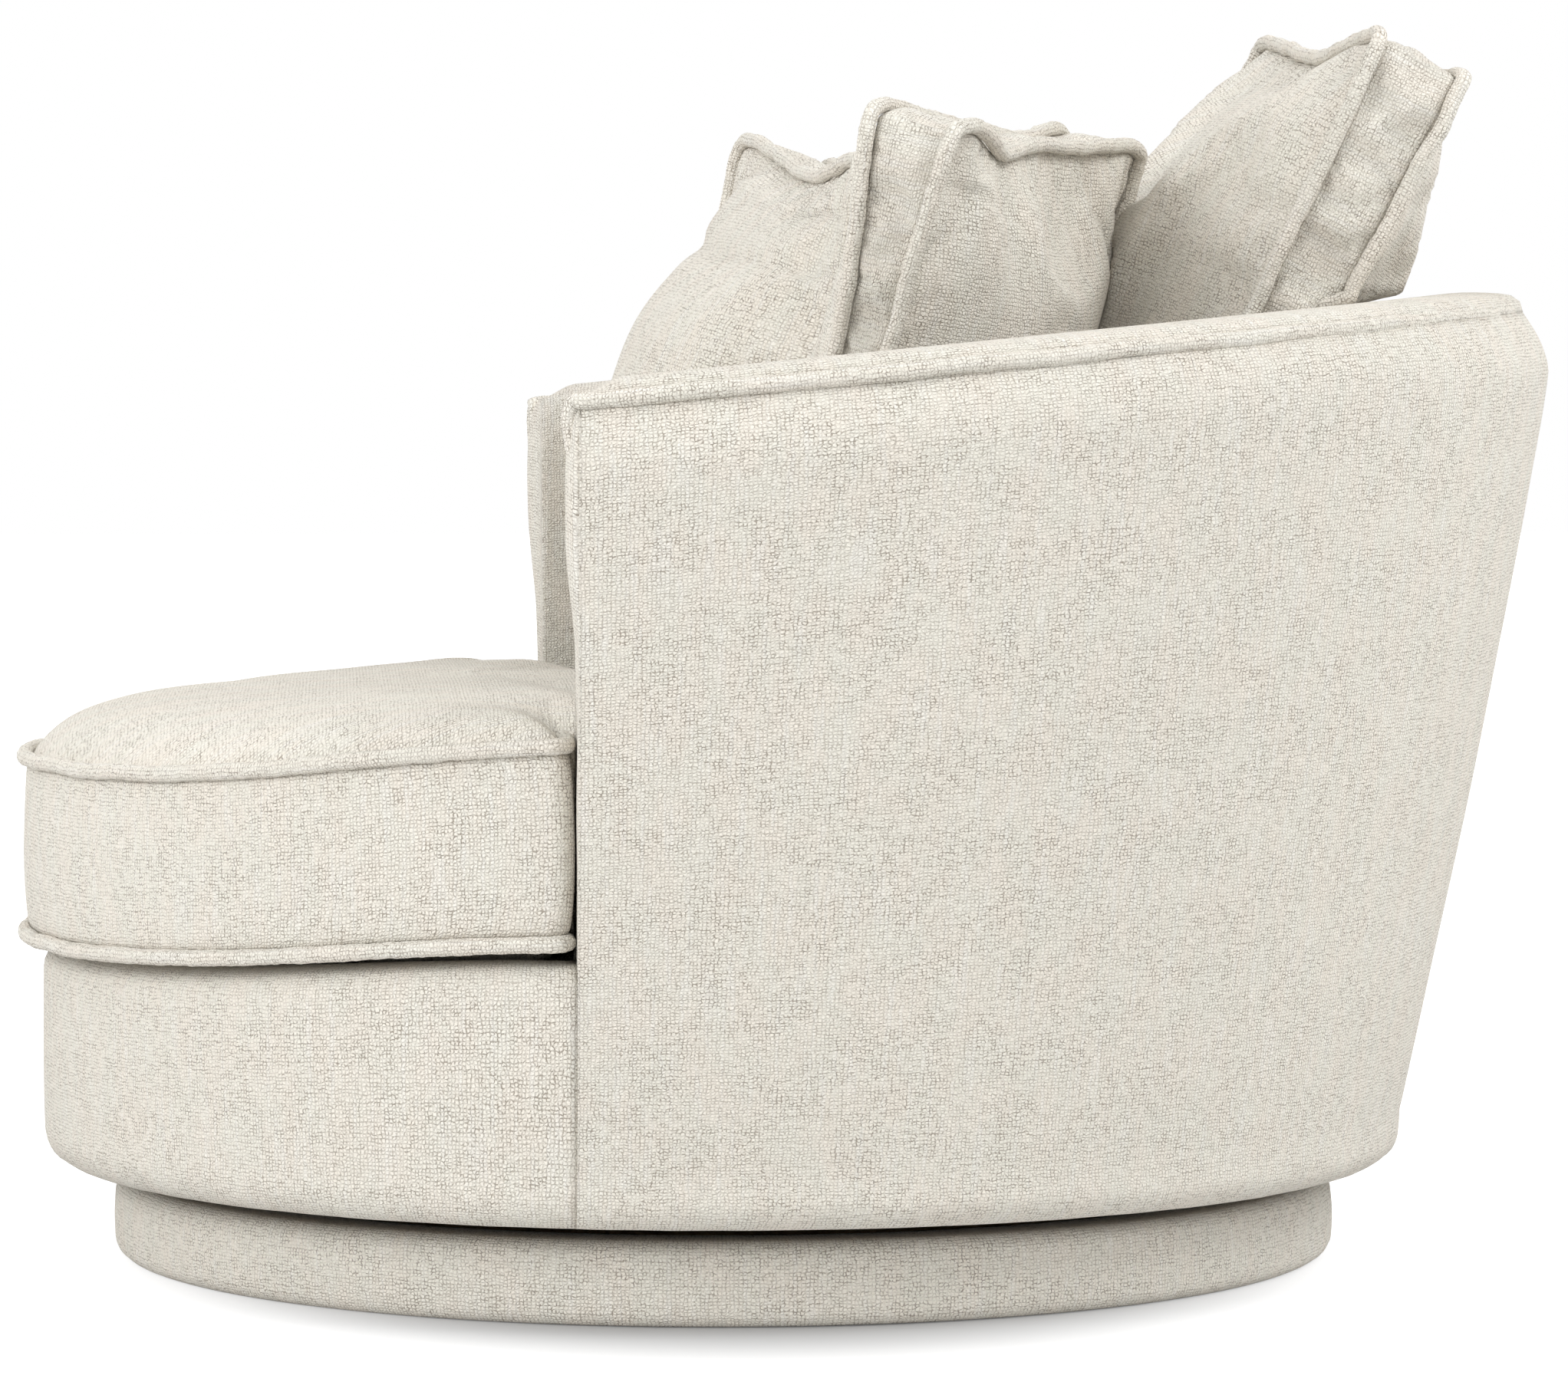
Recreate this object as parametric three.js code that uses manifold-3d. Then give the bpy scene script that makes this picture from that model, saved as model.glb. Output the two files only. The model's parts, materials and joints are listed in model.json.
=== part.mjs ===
// Round swivel cuddle chair: a padded barrel on a plinth, a boxed seat cushion and three boxed pillows.
// Millimetres, +Z up. The origin is on the swivel axis at floor level.
// The chair faces -Y, and left and right are those of the person who sits in it, so left is +X.

import * as THREE from 'three';
import { mergeVertices } from 'three/addons/utils/BufferGeometryUtils.js';
import Module from 'manifold-3d';

const manifold = await Module();
manifold.setup();

// Fits: between touching faces, between rounds whose facets don't line up, and past what a tool cuts
const touchGap = 0.3;
const roundFit = 2.4;
const overrun = 20;

// Facets of a full circle, of the barrel wall from arm to arm, and of the deck's front
const roundSegments = 32;
const plateSegments = 24;
const wallStations = 20;
const frontStations = 14;

const clothThickness = 2.5;

// Plinth
const plinthRadius = 476;
const plinthHeight = 62;
const plinthEdgeRound = 10;
const plinthPaddingWidth = 17;
const plinthBoardThickness = 15;
const plinthBoardChamfer = 12;
const plinthHoopWall = 12;
const plinthTopHem = 45;

// Swivel bearing: two plates with raised races, a caged ring of balls, and a headed pivot
const bearingHeight = 18;
const plateRadius = 158;
const plateThickness = 2.5;
const raceInnerRadius = 108;
const raceOuterRadius = 132;
const ballRadius = 4.5;
const ballGap = 0.3;
const ballCount = 8;
const ballSides = 6;
const ballRings = 4;
const cageWidth = 14;
const cageThickness = 1.5;
const pivotRadius = 18;
const pivotClearance = 2;
const pivotHeadRadius = 26;
const pivotHeadThickness = 3;
const pivotHeadClearance = 0.5;
const pivotSides = 16;

// Screws of the swivel plates
const screwCount = 4;
const screwCircle = 146;
const screwShankRadius = 2.5;
const screwHeadRadius = 6;
const screwHeadHeight = 2.2;
const screwLength = 13;
const screwSides = 8;

// Deck box, in heights above the bottom edge of the seat shell
const deckRadius = 531;
const deckTop = 170;
const deckFoamWidth = 21;
const deckBoardThickness = 18;
const deckBoardChamferWidth = 16;
const deckBoardChamferHeight = 7;
const deckHoopWall = 12;
const deckRingWidth = 110;
const deckPadMargin = 76;
const deckPadThickness = 12.5;
const deckLipRound = 20;
const pivotWellRadius = 34;
const dustCoverThickness = 1.2;
const dustCoverMargin = 8;
const springCount = 4;
const springSpacing = 165;
const springWireRadius = 2;
const springWireSides = 4;
const springSeat = 20;
const springWaveWidth = 50;
const springWaveLength = 120;
const springWaveShares = [[-1, 0.1], [-1, 0.4], [1, 0.6], [1, 0.9]];

// Barrel wall, in heights above the bottom edge of the seat shell
const sideFlare = 69;
const backFlare = 116;
const flareStart = 35;
const flareTop = 615;
const flareBowShare = 0.12;
const armTop = 600;
const backTop = 672;
const armFrontY = -135;
const armThickness = 105;
const backThickness = 137;
const shellEdgeRound = 24;
const shellHemWidth = 38;
const shoulderHeight = 65;
const shoulderShares = [0.5, 1];
const seamInset = 18;
const seamDrop = 13;
const innerShoulder = 64;
const capShares = [[0.035, 0.19], [0.16, 0.13], [0.42, 0.09], [0.68, 0.15], [0.86, 0.33], [0.96, 0.6]];
const linerThickness = 9;
const ribDepth = 42;
const ribThickness = 18;
const ribShares = [-0.5, 0, 0.5];
const railDrop = 44;
const railThickness = 18;
const uprightShares = [0, 0.5, 1];
const armPanelThickness = 8;
const armPanelCrown = 4;
const armPanelCrownShare = 0.6;
const barrelWeltRadius = 6.2;
const barrelWeltSides = 6;
const barrelWeltSeatShares = [0.42, 0.92];

// Boxed seat cushion
const cushionOverhang = 13;
const cushionNeckInset = 103;
const cushionEarRound = 26;
const cushionCentreY = -200;
const cushionBoxing = 130;
const cushionCrown = 69;
const cushionCrownPower = 3.5;
const cushionPress = 30;
const cushionPressStart = -90;
const cushionPressReach = 150;
const cushionBulge = 5;
const cushionWeltRadius = 6;
const cushionWeltSides = 6;
const cushionLift = 20;
const cushionLiftReach = 260;
const cushionLiftFade = 110;
const cushionTopShares = [0.93, 0.8, 0.6, 0.3];
const cushionBottomShare = 0.7;
const cushionWall = 8;
const cushionFrontSteps = 8;
const cushionEarSteps = 3;
const cushionBackSteps = 7;

// Boxed pillows, each with its foot at the bottom middle of its front face
const pillowWeltRadius = 5;
const pillowWeltSides = 5;
const pillowWall = 7;
const pillowDrawnInShare = 0.1;
const pillowCornerPinchShare = 0.3;
const pillowPinchPower = 4;
const pillowDomePower = 2.4;
const pillowCells = 8;
const fillingCells = 6;
const pillowRestGap = 0.6;
const zipShare = 0.55;
const zipWidth = 8;
const leftPillowX = 149;
const leftPillowY = 81;
const rightPillowX = -166;
const rightPillowY = -38;
const backPillowX = -14;
const backPillowInset = 291;
const leftPillow = {
  name: 'left_pillow',
  width: 450,
  height: 460,
  gusset: 58,
  frontCrown: 42,
  backCrown: 50,
  riseShare: 0.3,
  turnAngle: -25,
  leanAngle: 14,
  rollAngle: 0,
  footX: leftPillowX,
  footY: leftPillowY,
};
const rightPillow = {
  name: 'right_pillow',
  width: 450,
  height: 445,
  gusset: 58,
  frontCrown: 84,
  backCrown: 24,
  riseShare: 0,
  turnAngle: 5,
  leanAngle: 16,
  rollAngle: 0,
  footX: rightPillowX,
  footY: rightPillowY,
};
const backPillow = {
  name: 'back_pillow',
  width: 536,
  height: 565,
  gusset: 74,
  frontCrown: 78,
  backCrown: 66,
  riseShare: 0.5,
  turnAngle: 0,
  leanAngle: 23,
  rollAngle: 2.5,
  footX: backPillowX,
  footY: deckRadius - backPillowInset,
};

// Materials
function standard(color, roughness, metalness) {
  return new THREE.MeshStandardMaterial({ color, roughness, metalness });
}

const chenille = () => standard(0xdfdacb, 0.95, 0);
const plywood = () => standard(0xc8a878, 0.7, 0);
const fibreboard = () => standard(0x8f7a5c, 0.8, 0);
const foam = () => standard(0xf0e6b8, 0.9, 0);
const steel = () => standard(0x9a9ca0, 0.35, 0.9);
const blackCloth = () => standard(0x17171a, 0.9, 0);

const upAxis = new THREE.Vector3(0, 0, 1);
const upwards = () => upAxis;

// Closed geometry from points and three-cornered faces, with its faces turned outward
function solidGeometry(points, faces) {
  const whole = faces.filter(([a, b, c]) => a !== b && b !== c && c !== a);
  const sixfold = ([a, b, c]) => points[a].dot(points[b].clone().cross(points[c]));
  const volume = whole.reduce((sum, face) => sum + sixfold(face), 0);
  const outward = volume < 0 ? whole.map(([a, b, c]) => [a, c, b]) : whole;
  const geometry = new THREE.BufferGeometry();
  const coordinates = points.flatMap((point) => point.toArray());
  geometry.setAttribute('position', new THREE.Float32BufferAttribute(coordinates, 3));
  geometry.setIndex(outward.flat());
  geometry.computeVertexNormals();
  return geometry;
}

// The same solid with its shared corners merged and its empty faces dropped
function welded(geometry) {
  const bare = geometry.clone();
  bare.deleteAttribute('normal');
  bare.deleteAttribute('uv');
  const merged = mergeVertices(bare);
  const places = merged.getAttribute('position');
  const pointAt = (i) => new THREE.Vector3().fromBufferAttribute(places, i);
  const points = Array.from({ length: places.count }, (_, i) => pointAt(i));
  const corners = Array.from(merged.getIndex().array);
  const faces = Array.from({ length: corners.length / 3 }, (_, i) => corners.slice(3 * i, 3 * i + 3));
  return solidGeometry(points, faces);
}

// A ring of points seen flat, along the axis that it faces most
function flattened(ring) {
  const facing = new THREE.Vector3();
  ring.forEach((point, i) => facing.add(point.clone().cross(ring[(i + 1) % ring.length])));
  const axes = ['x', 'y', 'z'].sort((a, b) => Math.abs(facing[a]) - Math.abs(facing[b]));
  return ring.map((point) => new THREE.Vector2(point[axes[0]], point[axes[1]]));
}

// Faces that close one end of a loft
function capFaces(ring, firstIndex, atStart) {
  const flat = flattened(ring);
  const ringArea = THREE.ShapeUtils.area(flat);
  return THREE.ShapeUtils.triangulateShape(flat, []).map((corners) => {
    const followsRing = THREE.ShapeUtils.area(corners.map((i) => flat[i])) * ringArea > 0;
    const face = corners.map((i) => i + firstIndex);
    return followsRing === atStart ? face.reverse() : face;
  });
}

// Two faces for four corners, split where the skin stands further out from the upright axis
function quadFaces(points, a, b, c, d) {
  const reach = (from, to) => Math.hypot(points[from].x + points[to].x, points[from].y + points[to].y);
  return reach(a, c) > reach(b, d) ? [[a, b, c], [a, c, d]] : [[a, b, d], [b, c, d]];
}

// A skin through rings of equal count, closed on itself or capped at both ends
function loft(rings, closed = false) {
  const sides = rings[0].length;
  const points = rings.flat();
  const faces = [];
  const spans = closed ? rings.length : rings.length - 1;
  for (let i = 0; i < spans; i += 1) {
    const here = i * sides;
    const next = ((i + 1) % rings.length) * sides;
    for (let j = 0; j < sides; j += 1) {
      const k = (j + 1) % sides;
      faces.push(...quadFaces(points, here + j, here + k, next + k, next + j));
    }
  }
  if (!closed) {
    faces.push(...capFaces(rings[0], 0, true));
    faces.push(...capFaces(rings.at(-1), points.length - sides, false));
  }
  return solidGeometry(points, faces);
}

// A round tube along points; overAt gives a direction that its path never runs along
function tube(path, radius, sides, closed, overAt) {
  const last = path.length - 1;
  const rings = path.map((centre, i) => {
    const before = i > 0 ? path[i - 1] : path[closed ? last : 0];
    const after = i < last ? path[i + 1] : path[closed ? 0 : last];
    const along = after.clone().sub(before).normalize();
    const across = along.clone().cross(overAt(centre)).normalize();
    const rise = across.clone().cross(along);
    return Array.from({ length: sides }, (_, j) => {
      const angle = (j / sides) * 2 * Math.PI;
      const spoke = across.clone().multiplyScalar(Math.cos(angle)).addScaledVector(rise, Math.sin(angle));
      return centre.clone().addScaledVector(spoke, radius);
    });
  });
  return loft(rings, closed);
}

// Distance from a tube's middle to its flats
const weltFlat = (radius, sides) => radius * Math.cos(Math.PI / sides);

// A turned solid from a profile of [radius, height] points, which closes on itself where it is off the axis
function turned(profile, segments = roundSegments) {
  const outline = profile.map(([radius, height]) => new THREE.Vector2(radius, height));
  if (profile[0][0] > 0) {
    outline.push(outline[0].clone());
  }
  const geometry = new THREE.LatheGeometry(outline, segments);
  geometry.rotateX(Math.PI / 2);
  return welded(geometry);
}

// A flat turned ring, or a disc where the inner radius is 0
function turnedRing(inner, outer, bottom, top, segments = roundSegments) {
  return turned([[inner, bottom], [outer, bottom], [outer, top], [inner, top]], segments);
}

function toSolid(geometry) {
  const plain = welded(geometry);
  const vertProperties = new Float32Array(plain.getAttribute('position').array);
  const triVerts = new Uint32Array(plain.getIndex().array);
  return new manifold.Manifold(new manifold.Mesh({ numProp: 3, vertProperties, triVerts }));
}

function toGeometry(solid) {
  const mesh = solid.getMesh();
  const geometry = new THREE.BufferGeometry();
  geometry.setAttribute('position', new THREE.Float32BufferAttribute(mesh.vertProperties, mesh.numProp));
  geometry.setIndex(Array.from(mesh.triVerts));
  geometry.computeVertexNormals();
  return geometry;
}

function without(geometry, tools) {
  return toGeometry(tools.reduce((left, tool) => left.subtract(toSolid(tool)), toSolid(geometry)));
}

function joined(geometry, others) {
  return toGeometry(others.reduce((whole, other) => whole.add(toSolid(other)), toSolid(geometry)));
}

function piece(name, geometry, material) {
  const mesh = new THREE.Mesh(geometry, material);
  mesh.name = name;
  return mesh;
}

function groupOf(...children) {
  const group = new THREE.Group();
  group.add(...children);
  return group;
}

// Points of an arc in a section, from one angle to another in degrees
function arcPoints(centreOut, centreHeight, radius, from, to, steps) {
  return Array.from({ length: steps + 1 }, (_, i) => {
    const angle = THREE.MathUtils.degToRad(from + ((to - from) * i) / steps);
    return [centreOut + radius * Math.cos(angle), centreHeight + radius * Math.sin(angle)];
  });
}

// A section line moved to its left by a distance
function offsetLine(line, distance) {
  const points = line.map(([out, height]) => new THREE.Vector2(out, height));
  const headings = points.slice(1).map((point, i) => point.clone().sub(points[i]).normalize());
  return points.map((point, i) => {
    const before = headings[Math.max(i - 1, 0)];
    const after = headings[Math.min(i, headings.length - 1)];
    const middle = before.clone().add(after).normalize();
    const reach = distance / middle.dot(after);
    return [point.x - middle.y * reach, point.y + middle.x * reach];
  });
}

// A closed section between a line and the same line moved to its left
const band = (line, thickness) => [...line, ...offsetLine(line, thickness).reverse()];

// Places around the swivel axis, at equal angles from a diagonal
function aroundAxis(count, radius) {
  return Array.from({ length: count }, (_, i) => {
    const angle = Math.PI / 4 + (i / count) * 2 * Math.PI;
    return [radius * Math.cos(angle), radius * Math.sin(angle)];
  });
}

// Radii that follow the plinth and the deck
const plinthBoardRadius = plinthRadius - plinthPaddingWidth;
const deckFrameRadius = deckRadius - deckFoamWidth;
const deckRingInnerRadius = deckFrameRadius - deckRingWidth;
const deckPadRadius = deckFrameRadius - deckPadMargin;
const cushionRadius = deckRadius + cushionOverhang;
const cushionNeckRadius = deckRadius - cushionNeckInset;

// Levels of the plinth and of the swivel, counted up from the floor
const plinthBoardTop = plinthHeight - clothThickness - touchGap;
const plinthBoardBottom = plinthBoardTop - plinthBoardThickness;
const plinthSkin = clothThickness + touchGap;
const bearingBottom = plinthBoardTop + touchGap;
const bearingTop = bearingBottom + bearingHeight;
const ballCentre = bearingBottom + bearingHeight / 2;
const shellBottom = bearingTop - plateThickness;

// Levels of the deck, counted up from the bottom edge of the shell
const deckBoardBottom = clothThickness + touchGap;
const deckBoardTop = deckBoardBottom + deckBoardThickness;
const deckClothBottom = deckTop - clothThickness;
const deckPadTop = deckClothBottom - touchGap;
const deckPadBottom = deckPadTop - deckPadThickness;
const springCentre = deckPadBottom - touchGap - springWireRadius;
const deckFrameTop = springCentre - springWireRadius - touchGap;
const deckRingBottom = deckFrameTop - deckBoardThickness;
const wallFoot = deckFrameTop + touchGap;

// Insets of the barrel wall's layers from its outer face, and where they end behind an arm's front
const linerInset = clothThickness + touchGap;
const ribInset = linerInset + linerThickness + roundFit;
const foamInset = ribInset + ribDepth + touchGap;
const coverEndY = armFrontY + armPanelThickness + touchGap;

// Plinth pieces
const plinthBottomBoard = () => turned([
  [0, 0],
  [plinthBoardRadius - plinthBoardChamfer, 0],
  [plinthBoardRadius, plinthBoardChamfer],
  [plinthBoardRadius, plinthBoardThickness],
  [0, plinthBoardThickness],
]);

function plinthPaddingGeometry() {
  const inner = plinthBoardRadius + touchGap;
  const outer = plinthRadius - plinthSkin;
  const centre = plinthRadius - plinthEdgeRound;
  return turned([
    [inner, plinthSkin],
    ...arcPoints(centre, plinthEdgeRound, plinthEdgeRound - plinthSkin, -90, 0, 2),
    [outer, plinthHeight - plinthEdgeRound],
    [centre, plinthBoardTop],
    [inner, plinthBoardTop],
  ]);
}

function plinthCoverGeometry() {
  const hem = [plinthBoardRadius - plinthBoardChamfer + plinthSkin + touchGap, 0];
  const centre = plinthRadius - plinthEdgeRound;
  const low = arcPoints(centre, plinthEdgeRound, plinthEdgeRound, -90, 0, 2);
  const high = arcPoints(centre, plinthHeight - plinthEdgeRound, plinthEdgeRound, 0, 90, 2);
  return turned(band([hem, ...low, ...high, [plinthRadius - plinthTopHem, plinthHeight]], clothThickness));
}

// A swivel plate with its race on top, its middle hole and its screw holes
function swivelPlateGeometry(holeRadius) {
  const raceHeight = (bearingHeight - 2 * (plateThickness + ballRadius + ballGap)) / 2;
  const plate = turned([
    [holeRadius, 0],
    [plateRadius, 0],
    [plateRadius, plateThickness],
    [raceOuterRadius, plateThickness],
    [raceOuterRadius, plateThickness + raceHeight],
    [raceInnerRadius, plateThickness + raceHeight],
    [raceInnerRadius, plateThickness],
    [holeRadius, plateThickness],
  ], plateSegments);
  return without(plate, screwHoles(plateThickness));
}

function screwGeometry() {
  return turned([
    [0, -screwLength],
    [screwShankRadius, -screwLength],
    [screwShankRadius, 0],
    [screwHeadRadius, 0],
    [screwHeadRadius, screwHeadHeight],
    [0, screwHeadHeight],
  ], screwSides);
}

// Cutters for the screws' shanks; under is the level below a screw's head
function screwHoles(under) {
  const radius = screwShankRadius + touchGap;
  return aroundAxis(screwCount, screwCircle).map(([x, y]) => {
    return turnedRing(0, radius, under - screwLength, under + overrun, screwSides).translate(x, y, 0);
  });
}

function ballRingGeometry() {
  const middle = (raceInnerRadius + raceOuterRadius) / 2;
  const bottom = ballCentre - cageThickness / 2;
  const top = bottom + cageThickness;
  const cage = turnedRing(middle - cageWidth / 2, middle + cageWidth / 2, bottom, top, plateSegments);
  const balls = aroundAxis(ballCount, middle).map(([x, y]) => {
    const ball = new THREE.SphereGeometry(ballRadius, ballSides, ballRings);
    return ball.rotateX(Math.PI / 2).translate(x, y, ballCentre);
  });
  return joined(cage, balls);
}

function pivotGeometry() {
  const headBottom = bearingTop + pivotHeadClearance;
  const headTop = headBottom + pivotHeadThickness;
  return turned([
    [0, bearingBottom],
    [pivotRadius, bearingBottom],
    [pivotRadius, headBottom],
    [pivotHeadRadius, headBottom],
    [pivotHeadRadius, headTop],
    [0, headTop],
  ], pivotSides);
}

function lowerScrews() {
  return aroundAxis(screwCount, screwCircle).map(([x, y], i) => {
    const screw = piece(`lower_plate_screw_${i + 1}`, screwGeometry(), steel());
    screw.position.set(x, y, bearingBottom + plateThickness + touchGap);
    return screw;
  });
}

function buildBase() {
  const screwLevel = bearingBottom + plateThickness + touchGap;
  const topBoard = turnedRing(0, plinthBoardRadius, plinthBoardBottom, plinthBoardTop);
  const hoopTop = plinthBoardBottom - touchGap;
  const hoopBottom = plinthBoardThickness + touchGap;
  const hoop = turnedRing(plinthBoardRadius - plinthHoopWall, plinthBoardRadius, hoopBottom, hoopTop);
  const lowerPlate = piece('swivel_lower_plate', swivelPlateGeometry(pivotRadius + touchGap), steel());
  lowerPlate.position.z = bearingBottom;
  return groupOf(
    piece('plinth_bottom_board', plinthBottomBoard(), plywood()),
    piece('plinth_hoop', hoop, plywood()),
    piece('plinth_top_board', without(topBoard, screwHoles(screwLevel)), plywood()),
    piece('plinth_padding', plinthPaddingGeometry(), foam()),
    piece('plinth_cover', plinthCoverGeometry(), chenille()),
    lowerPlate,
    piece('swivel_ball_ring', ballRingGeometry(), steel()),
    piece('swivel_pivot', pivotGeometry(), steel()),
    ...lowerScrews(),
  );
}

// Shape of the shell: angles count from straight back
function flareAt(angle) {
  const toBack = Math.cos(angle);
  const square = toBack * toBack;
  return toBack > 0 ? sideFlare + (backFlare - sideFlare) * square : sideFlare * (1 - square);
}

function outerRadius(angle, height) {
  const climb = THREE.MathUtils.clamp((height - flareStart) / (flareTop - flareStart), 0, 1);
  return deckRadius + flareAt(angle) * climb * (1 + flareBowShare * (1 - climb));
}

const nominalAngle = (along) => along * Math.acos(armFrontY / (deckRadius + sideFlare));

function wallThickness(along) {
  const toBack = Math.max(Math.cos(nominalAngle(along)), 0);
  return armThickness + (backThickness - armThickness) * toBack * toBack;
}

function rimHeight(along) {
  const angle = nominalAngle(along);
  const y = (deckRadius + flareAt(angle)) * Math.cos(angle);
  return armTop + ((backTop - armTop) * (y - armFrontY)) / (deckRadius + backFlare - armFrontY);
}

// Inset of the wall's inner face, which thickens from the foot to the inner shoulder
function innerInset(along, height) {
  const climb = (height - wallFoot) / (rimHeight(along) - innerShoulder - wallFoot);
  return armThickness + (wallThickness(along) - armThickness) * climb;
}

// A point of the wall: along runs from -1 at the right arm's front to 1 at the left arm's front
function wallPoint(along, out, height) {
  const radius = outerRadius(nominalAngle(along), height) + out;
  const angle = along * Math.acos(armFrontY / radius);
  return new THREE.Vector3(radius * Math.sin(angle), radius * Math.cos(angle), height);
}

// Slides the end ring of a wall layer along its last facets until it lies at one depth
function trimToY(end, next, y) {
  end.forEach((point, i) => point.lerp(next[i], (y - point.y) / (next[i].y - point.y)));
}

function wallLayer(sectionAt) {
  const rings = [];
  for (let k = 0; k <= wallStations; k += 1) {
    const along = (2 * k) / wallStations - 1;
    rings.push(sectionAt(along).map(([out, height]) => wallPoint(along, out, height)));
  }
  trimToY(rings[0], rings[1], coverEndY);
  trimToY(rings.at(-1), rings.at(-2), coverEndY);
  return loft(rings);
}

// A point of the deck's front: share runs from 0 at the left seam to 1 at the right seam
function frontPoint(share, out, height) {
  const seam = Math.acos((coverEndY - touchGap) / (outerRadius(nominalAngle(1), height) + out));
  const angle = seam + share * 2 * (Math.PI - seam);
  const radius = outerRadius(angle, height) + out;
  return new THREE.Vector3(radius * Math.sin(angle), radius * Math.cos(angle), height);
}

function frontLayer(section) {
  const shares = Array.from({ length: frontStations + 1 }, (_, k) => k / frontStations);
  return loft(shares.map((share) => section.map(([out, height]) => frontPoint(share, out, height))));
}

// Levels of the wall's outer face: bottom edge, deck, middle and shoulder
function faceLevels(along) {
  const shoulder = rimHeight(along) - shoulderHeight;
  return [shellEdgeRound, deckTop, (deckTop + shoulder) / 2, shoulder];
}

function shoulderLine(along) {
  const foot = rimHeight(along) - shoulderHeight;
  const rise = shoulderHeight - seamDrop;
  return shoulderShares.map((share) => [-seamInset * share * share, foot + rise * share]);
}

function capLine(along) {
  const rim = rimHeight(along);
  const width = wallThickness(along) - seamInset;
  return capShares.map(([share, drop]) => [-seamInset - width * share, rim - innerShoulder * drop]);
}

function innerFace(along) {
  const levels = [rimHeight(along) - innerShoulder, faceLevels(along)[2], wallFoot];
  return levels.map((height) => [-innerInset(along, height), height]);
}

const shellHem = [-shellEdgeRound - shellHemWidth, 0];
const shellEdge = arcPoints(-shellEdgeRound, shellEdgeRound, shellEdgeRound, -90, 0, 2);

function outsideCoverSection(along) {
  const face = faceLevels(along).slice(1).map((height) => [0, height]);
  return band([shellHem, ...shellEdge, ...face, ...shoulderLine(along)], clothThickness);
}

const insideCoverSection = (along) => band([...capLine(along), ...innerFace(along)], clothThickness);

function linerSection(along) {
  const [edge, deck, middle, shoulder] = faceLevels(along);
  const outside = [edge, deck, middle, shoulder - touchGap].map((height) => [-linerInset, height]);
  return [...outside, ...outside.map(([out, height]) => [out - linerThickness, height]).reverse()];
}

function foamSection(along) {
  const top = rimHeight(along) - innerShoulder - touchGap;
  const levels = [wallFoot, faceLevels(along)[2], top];
  const inside = levels.map((height) => [-innerInset(along, height) + linerInset, height]);
  return [...levels.map((height) => [-foamInset, height]), ...inside.reverse()];
}

// Foam over the top rail, from the outer shoulder round to the inner shoulder
function rollSection(along) {
  const rim = rimHeight(along);
  const shoulder = rim - shoulderHeight;
  const innerCorner = [-wallThickness(along), rim - innerShoulder];
  const line = [[0, shoulder], ...shoulderLine(along), ...capLine(along), innerCorner];
  const railOuter = -linerInset - linerThickness;
  const railTop = rim - railDrop + touchGap;
  return [
    [-linerInset, shoulder],
    ...offsetLine(line, linerInset).slice(1, -1),
    [innerCorner[0] + linerInset, innerCorner[1]],
    [-foamInset, innerCorner[1]],
    [-foamInset, railTop],
    [railOuter, railTop],
    [railOuter, shoulder],
  ];
}

function railSection(along) {
  const top = rimHeight(along) - railDrop;
  const inner = -ribInset - ribDepth;
  return [[-ribInset, top - railThickness], [-ribInset, top], [inner, top], [inner, top - railThickness]];
}

// Uprights of the wall frame, from the deck ring to the top rail
function upright(cornersAt) {
  return loft(uprightShares.map((share) => cornersAt(share)));
}

function uprightLevel(along, share) {
  const top = rimHeight(along) - railDrop - railThickness - touchGap;
  return wallFoot + (top - wallFoot) * share;
}

function ribGeometry(along) {
  const half = ribThickness / 2 / (deckRadius * Math.acos(armFrontY / deckRadius));
  const deep = ribInset + ribDepth;
  const [start, end] = [along - half, along + half];
  const plan = [[start, ribInset], [end, ribInset], [end, deep], [start, deep]];
  return upright((share) => plan.map(([at, inset]) => wallPoint(at, -inset, uprightLevel(at, share))));
}

function armPostGeometry(side) {
  const backY = coverEndY + ribThickness;
  const deep = ribInset + ribDepth;
  const plan = [[ribInset, coverEndY], [deep, coverEndY], [deep, backY], [ribInset, backY]];
  return upright((share) => plan.map(([inset, y]) => {
    const height = uprightLevel(side, share);
    const radius = outerRadius(nominalAngle(side), height) - inset;
    return new THREE.Vector3(side * Math.sqrt(radius * radius - y * y), y, height);
  }));
}

// The upholstered front of an arm, crowned a little forward
function armPanelGeometry(side) {
  const foot = deckTop + touchGap;
  const outer = [foot, ...faceLevels(side).slice(2)].map((height) => [0, height]);
  const inner = innerFace(side).slice(0, -1);
  const corner = [-innerInset(side, foot), foot];
  const line = [...outer, ...shoulderLine(side), ...capLine(side), ...inner, corner];
  const outline = line.map(([out, height]) => wallPoint(side, out, height));
  const box = new THREE.Box3().setFromPoints(outline);
  const centre = box.getCenter(new THREE.Vector3());
  const half = box.getSize(new THREE.Vector3()).divideScalar(2);
  const ringAt = (y, inset) => outline.map((point) => new THREE.Vector3(
    centre.x + (point.x - centre.x) * (1 - inset / half.x),
    y,
    centre.z + (point.z - centre.z) * (1 - inset / half.z),
  ));
  return loft([
    ringAt(armFrontY + armPanelThickness, 0),
    ringAt(armFrontY + armPanelCrown, 0),
    ringAt(armFrontY, armPanelCrown),
    ringAt(armFrontY - armPanelCrown, half.x * armPanelCrownShare),
  ]);
}

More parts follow.
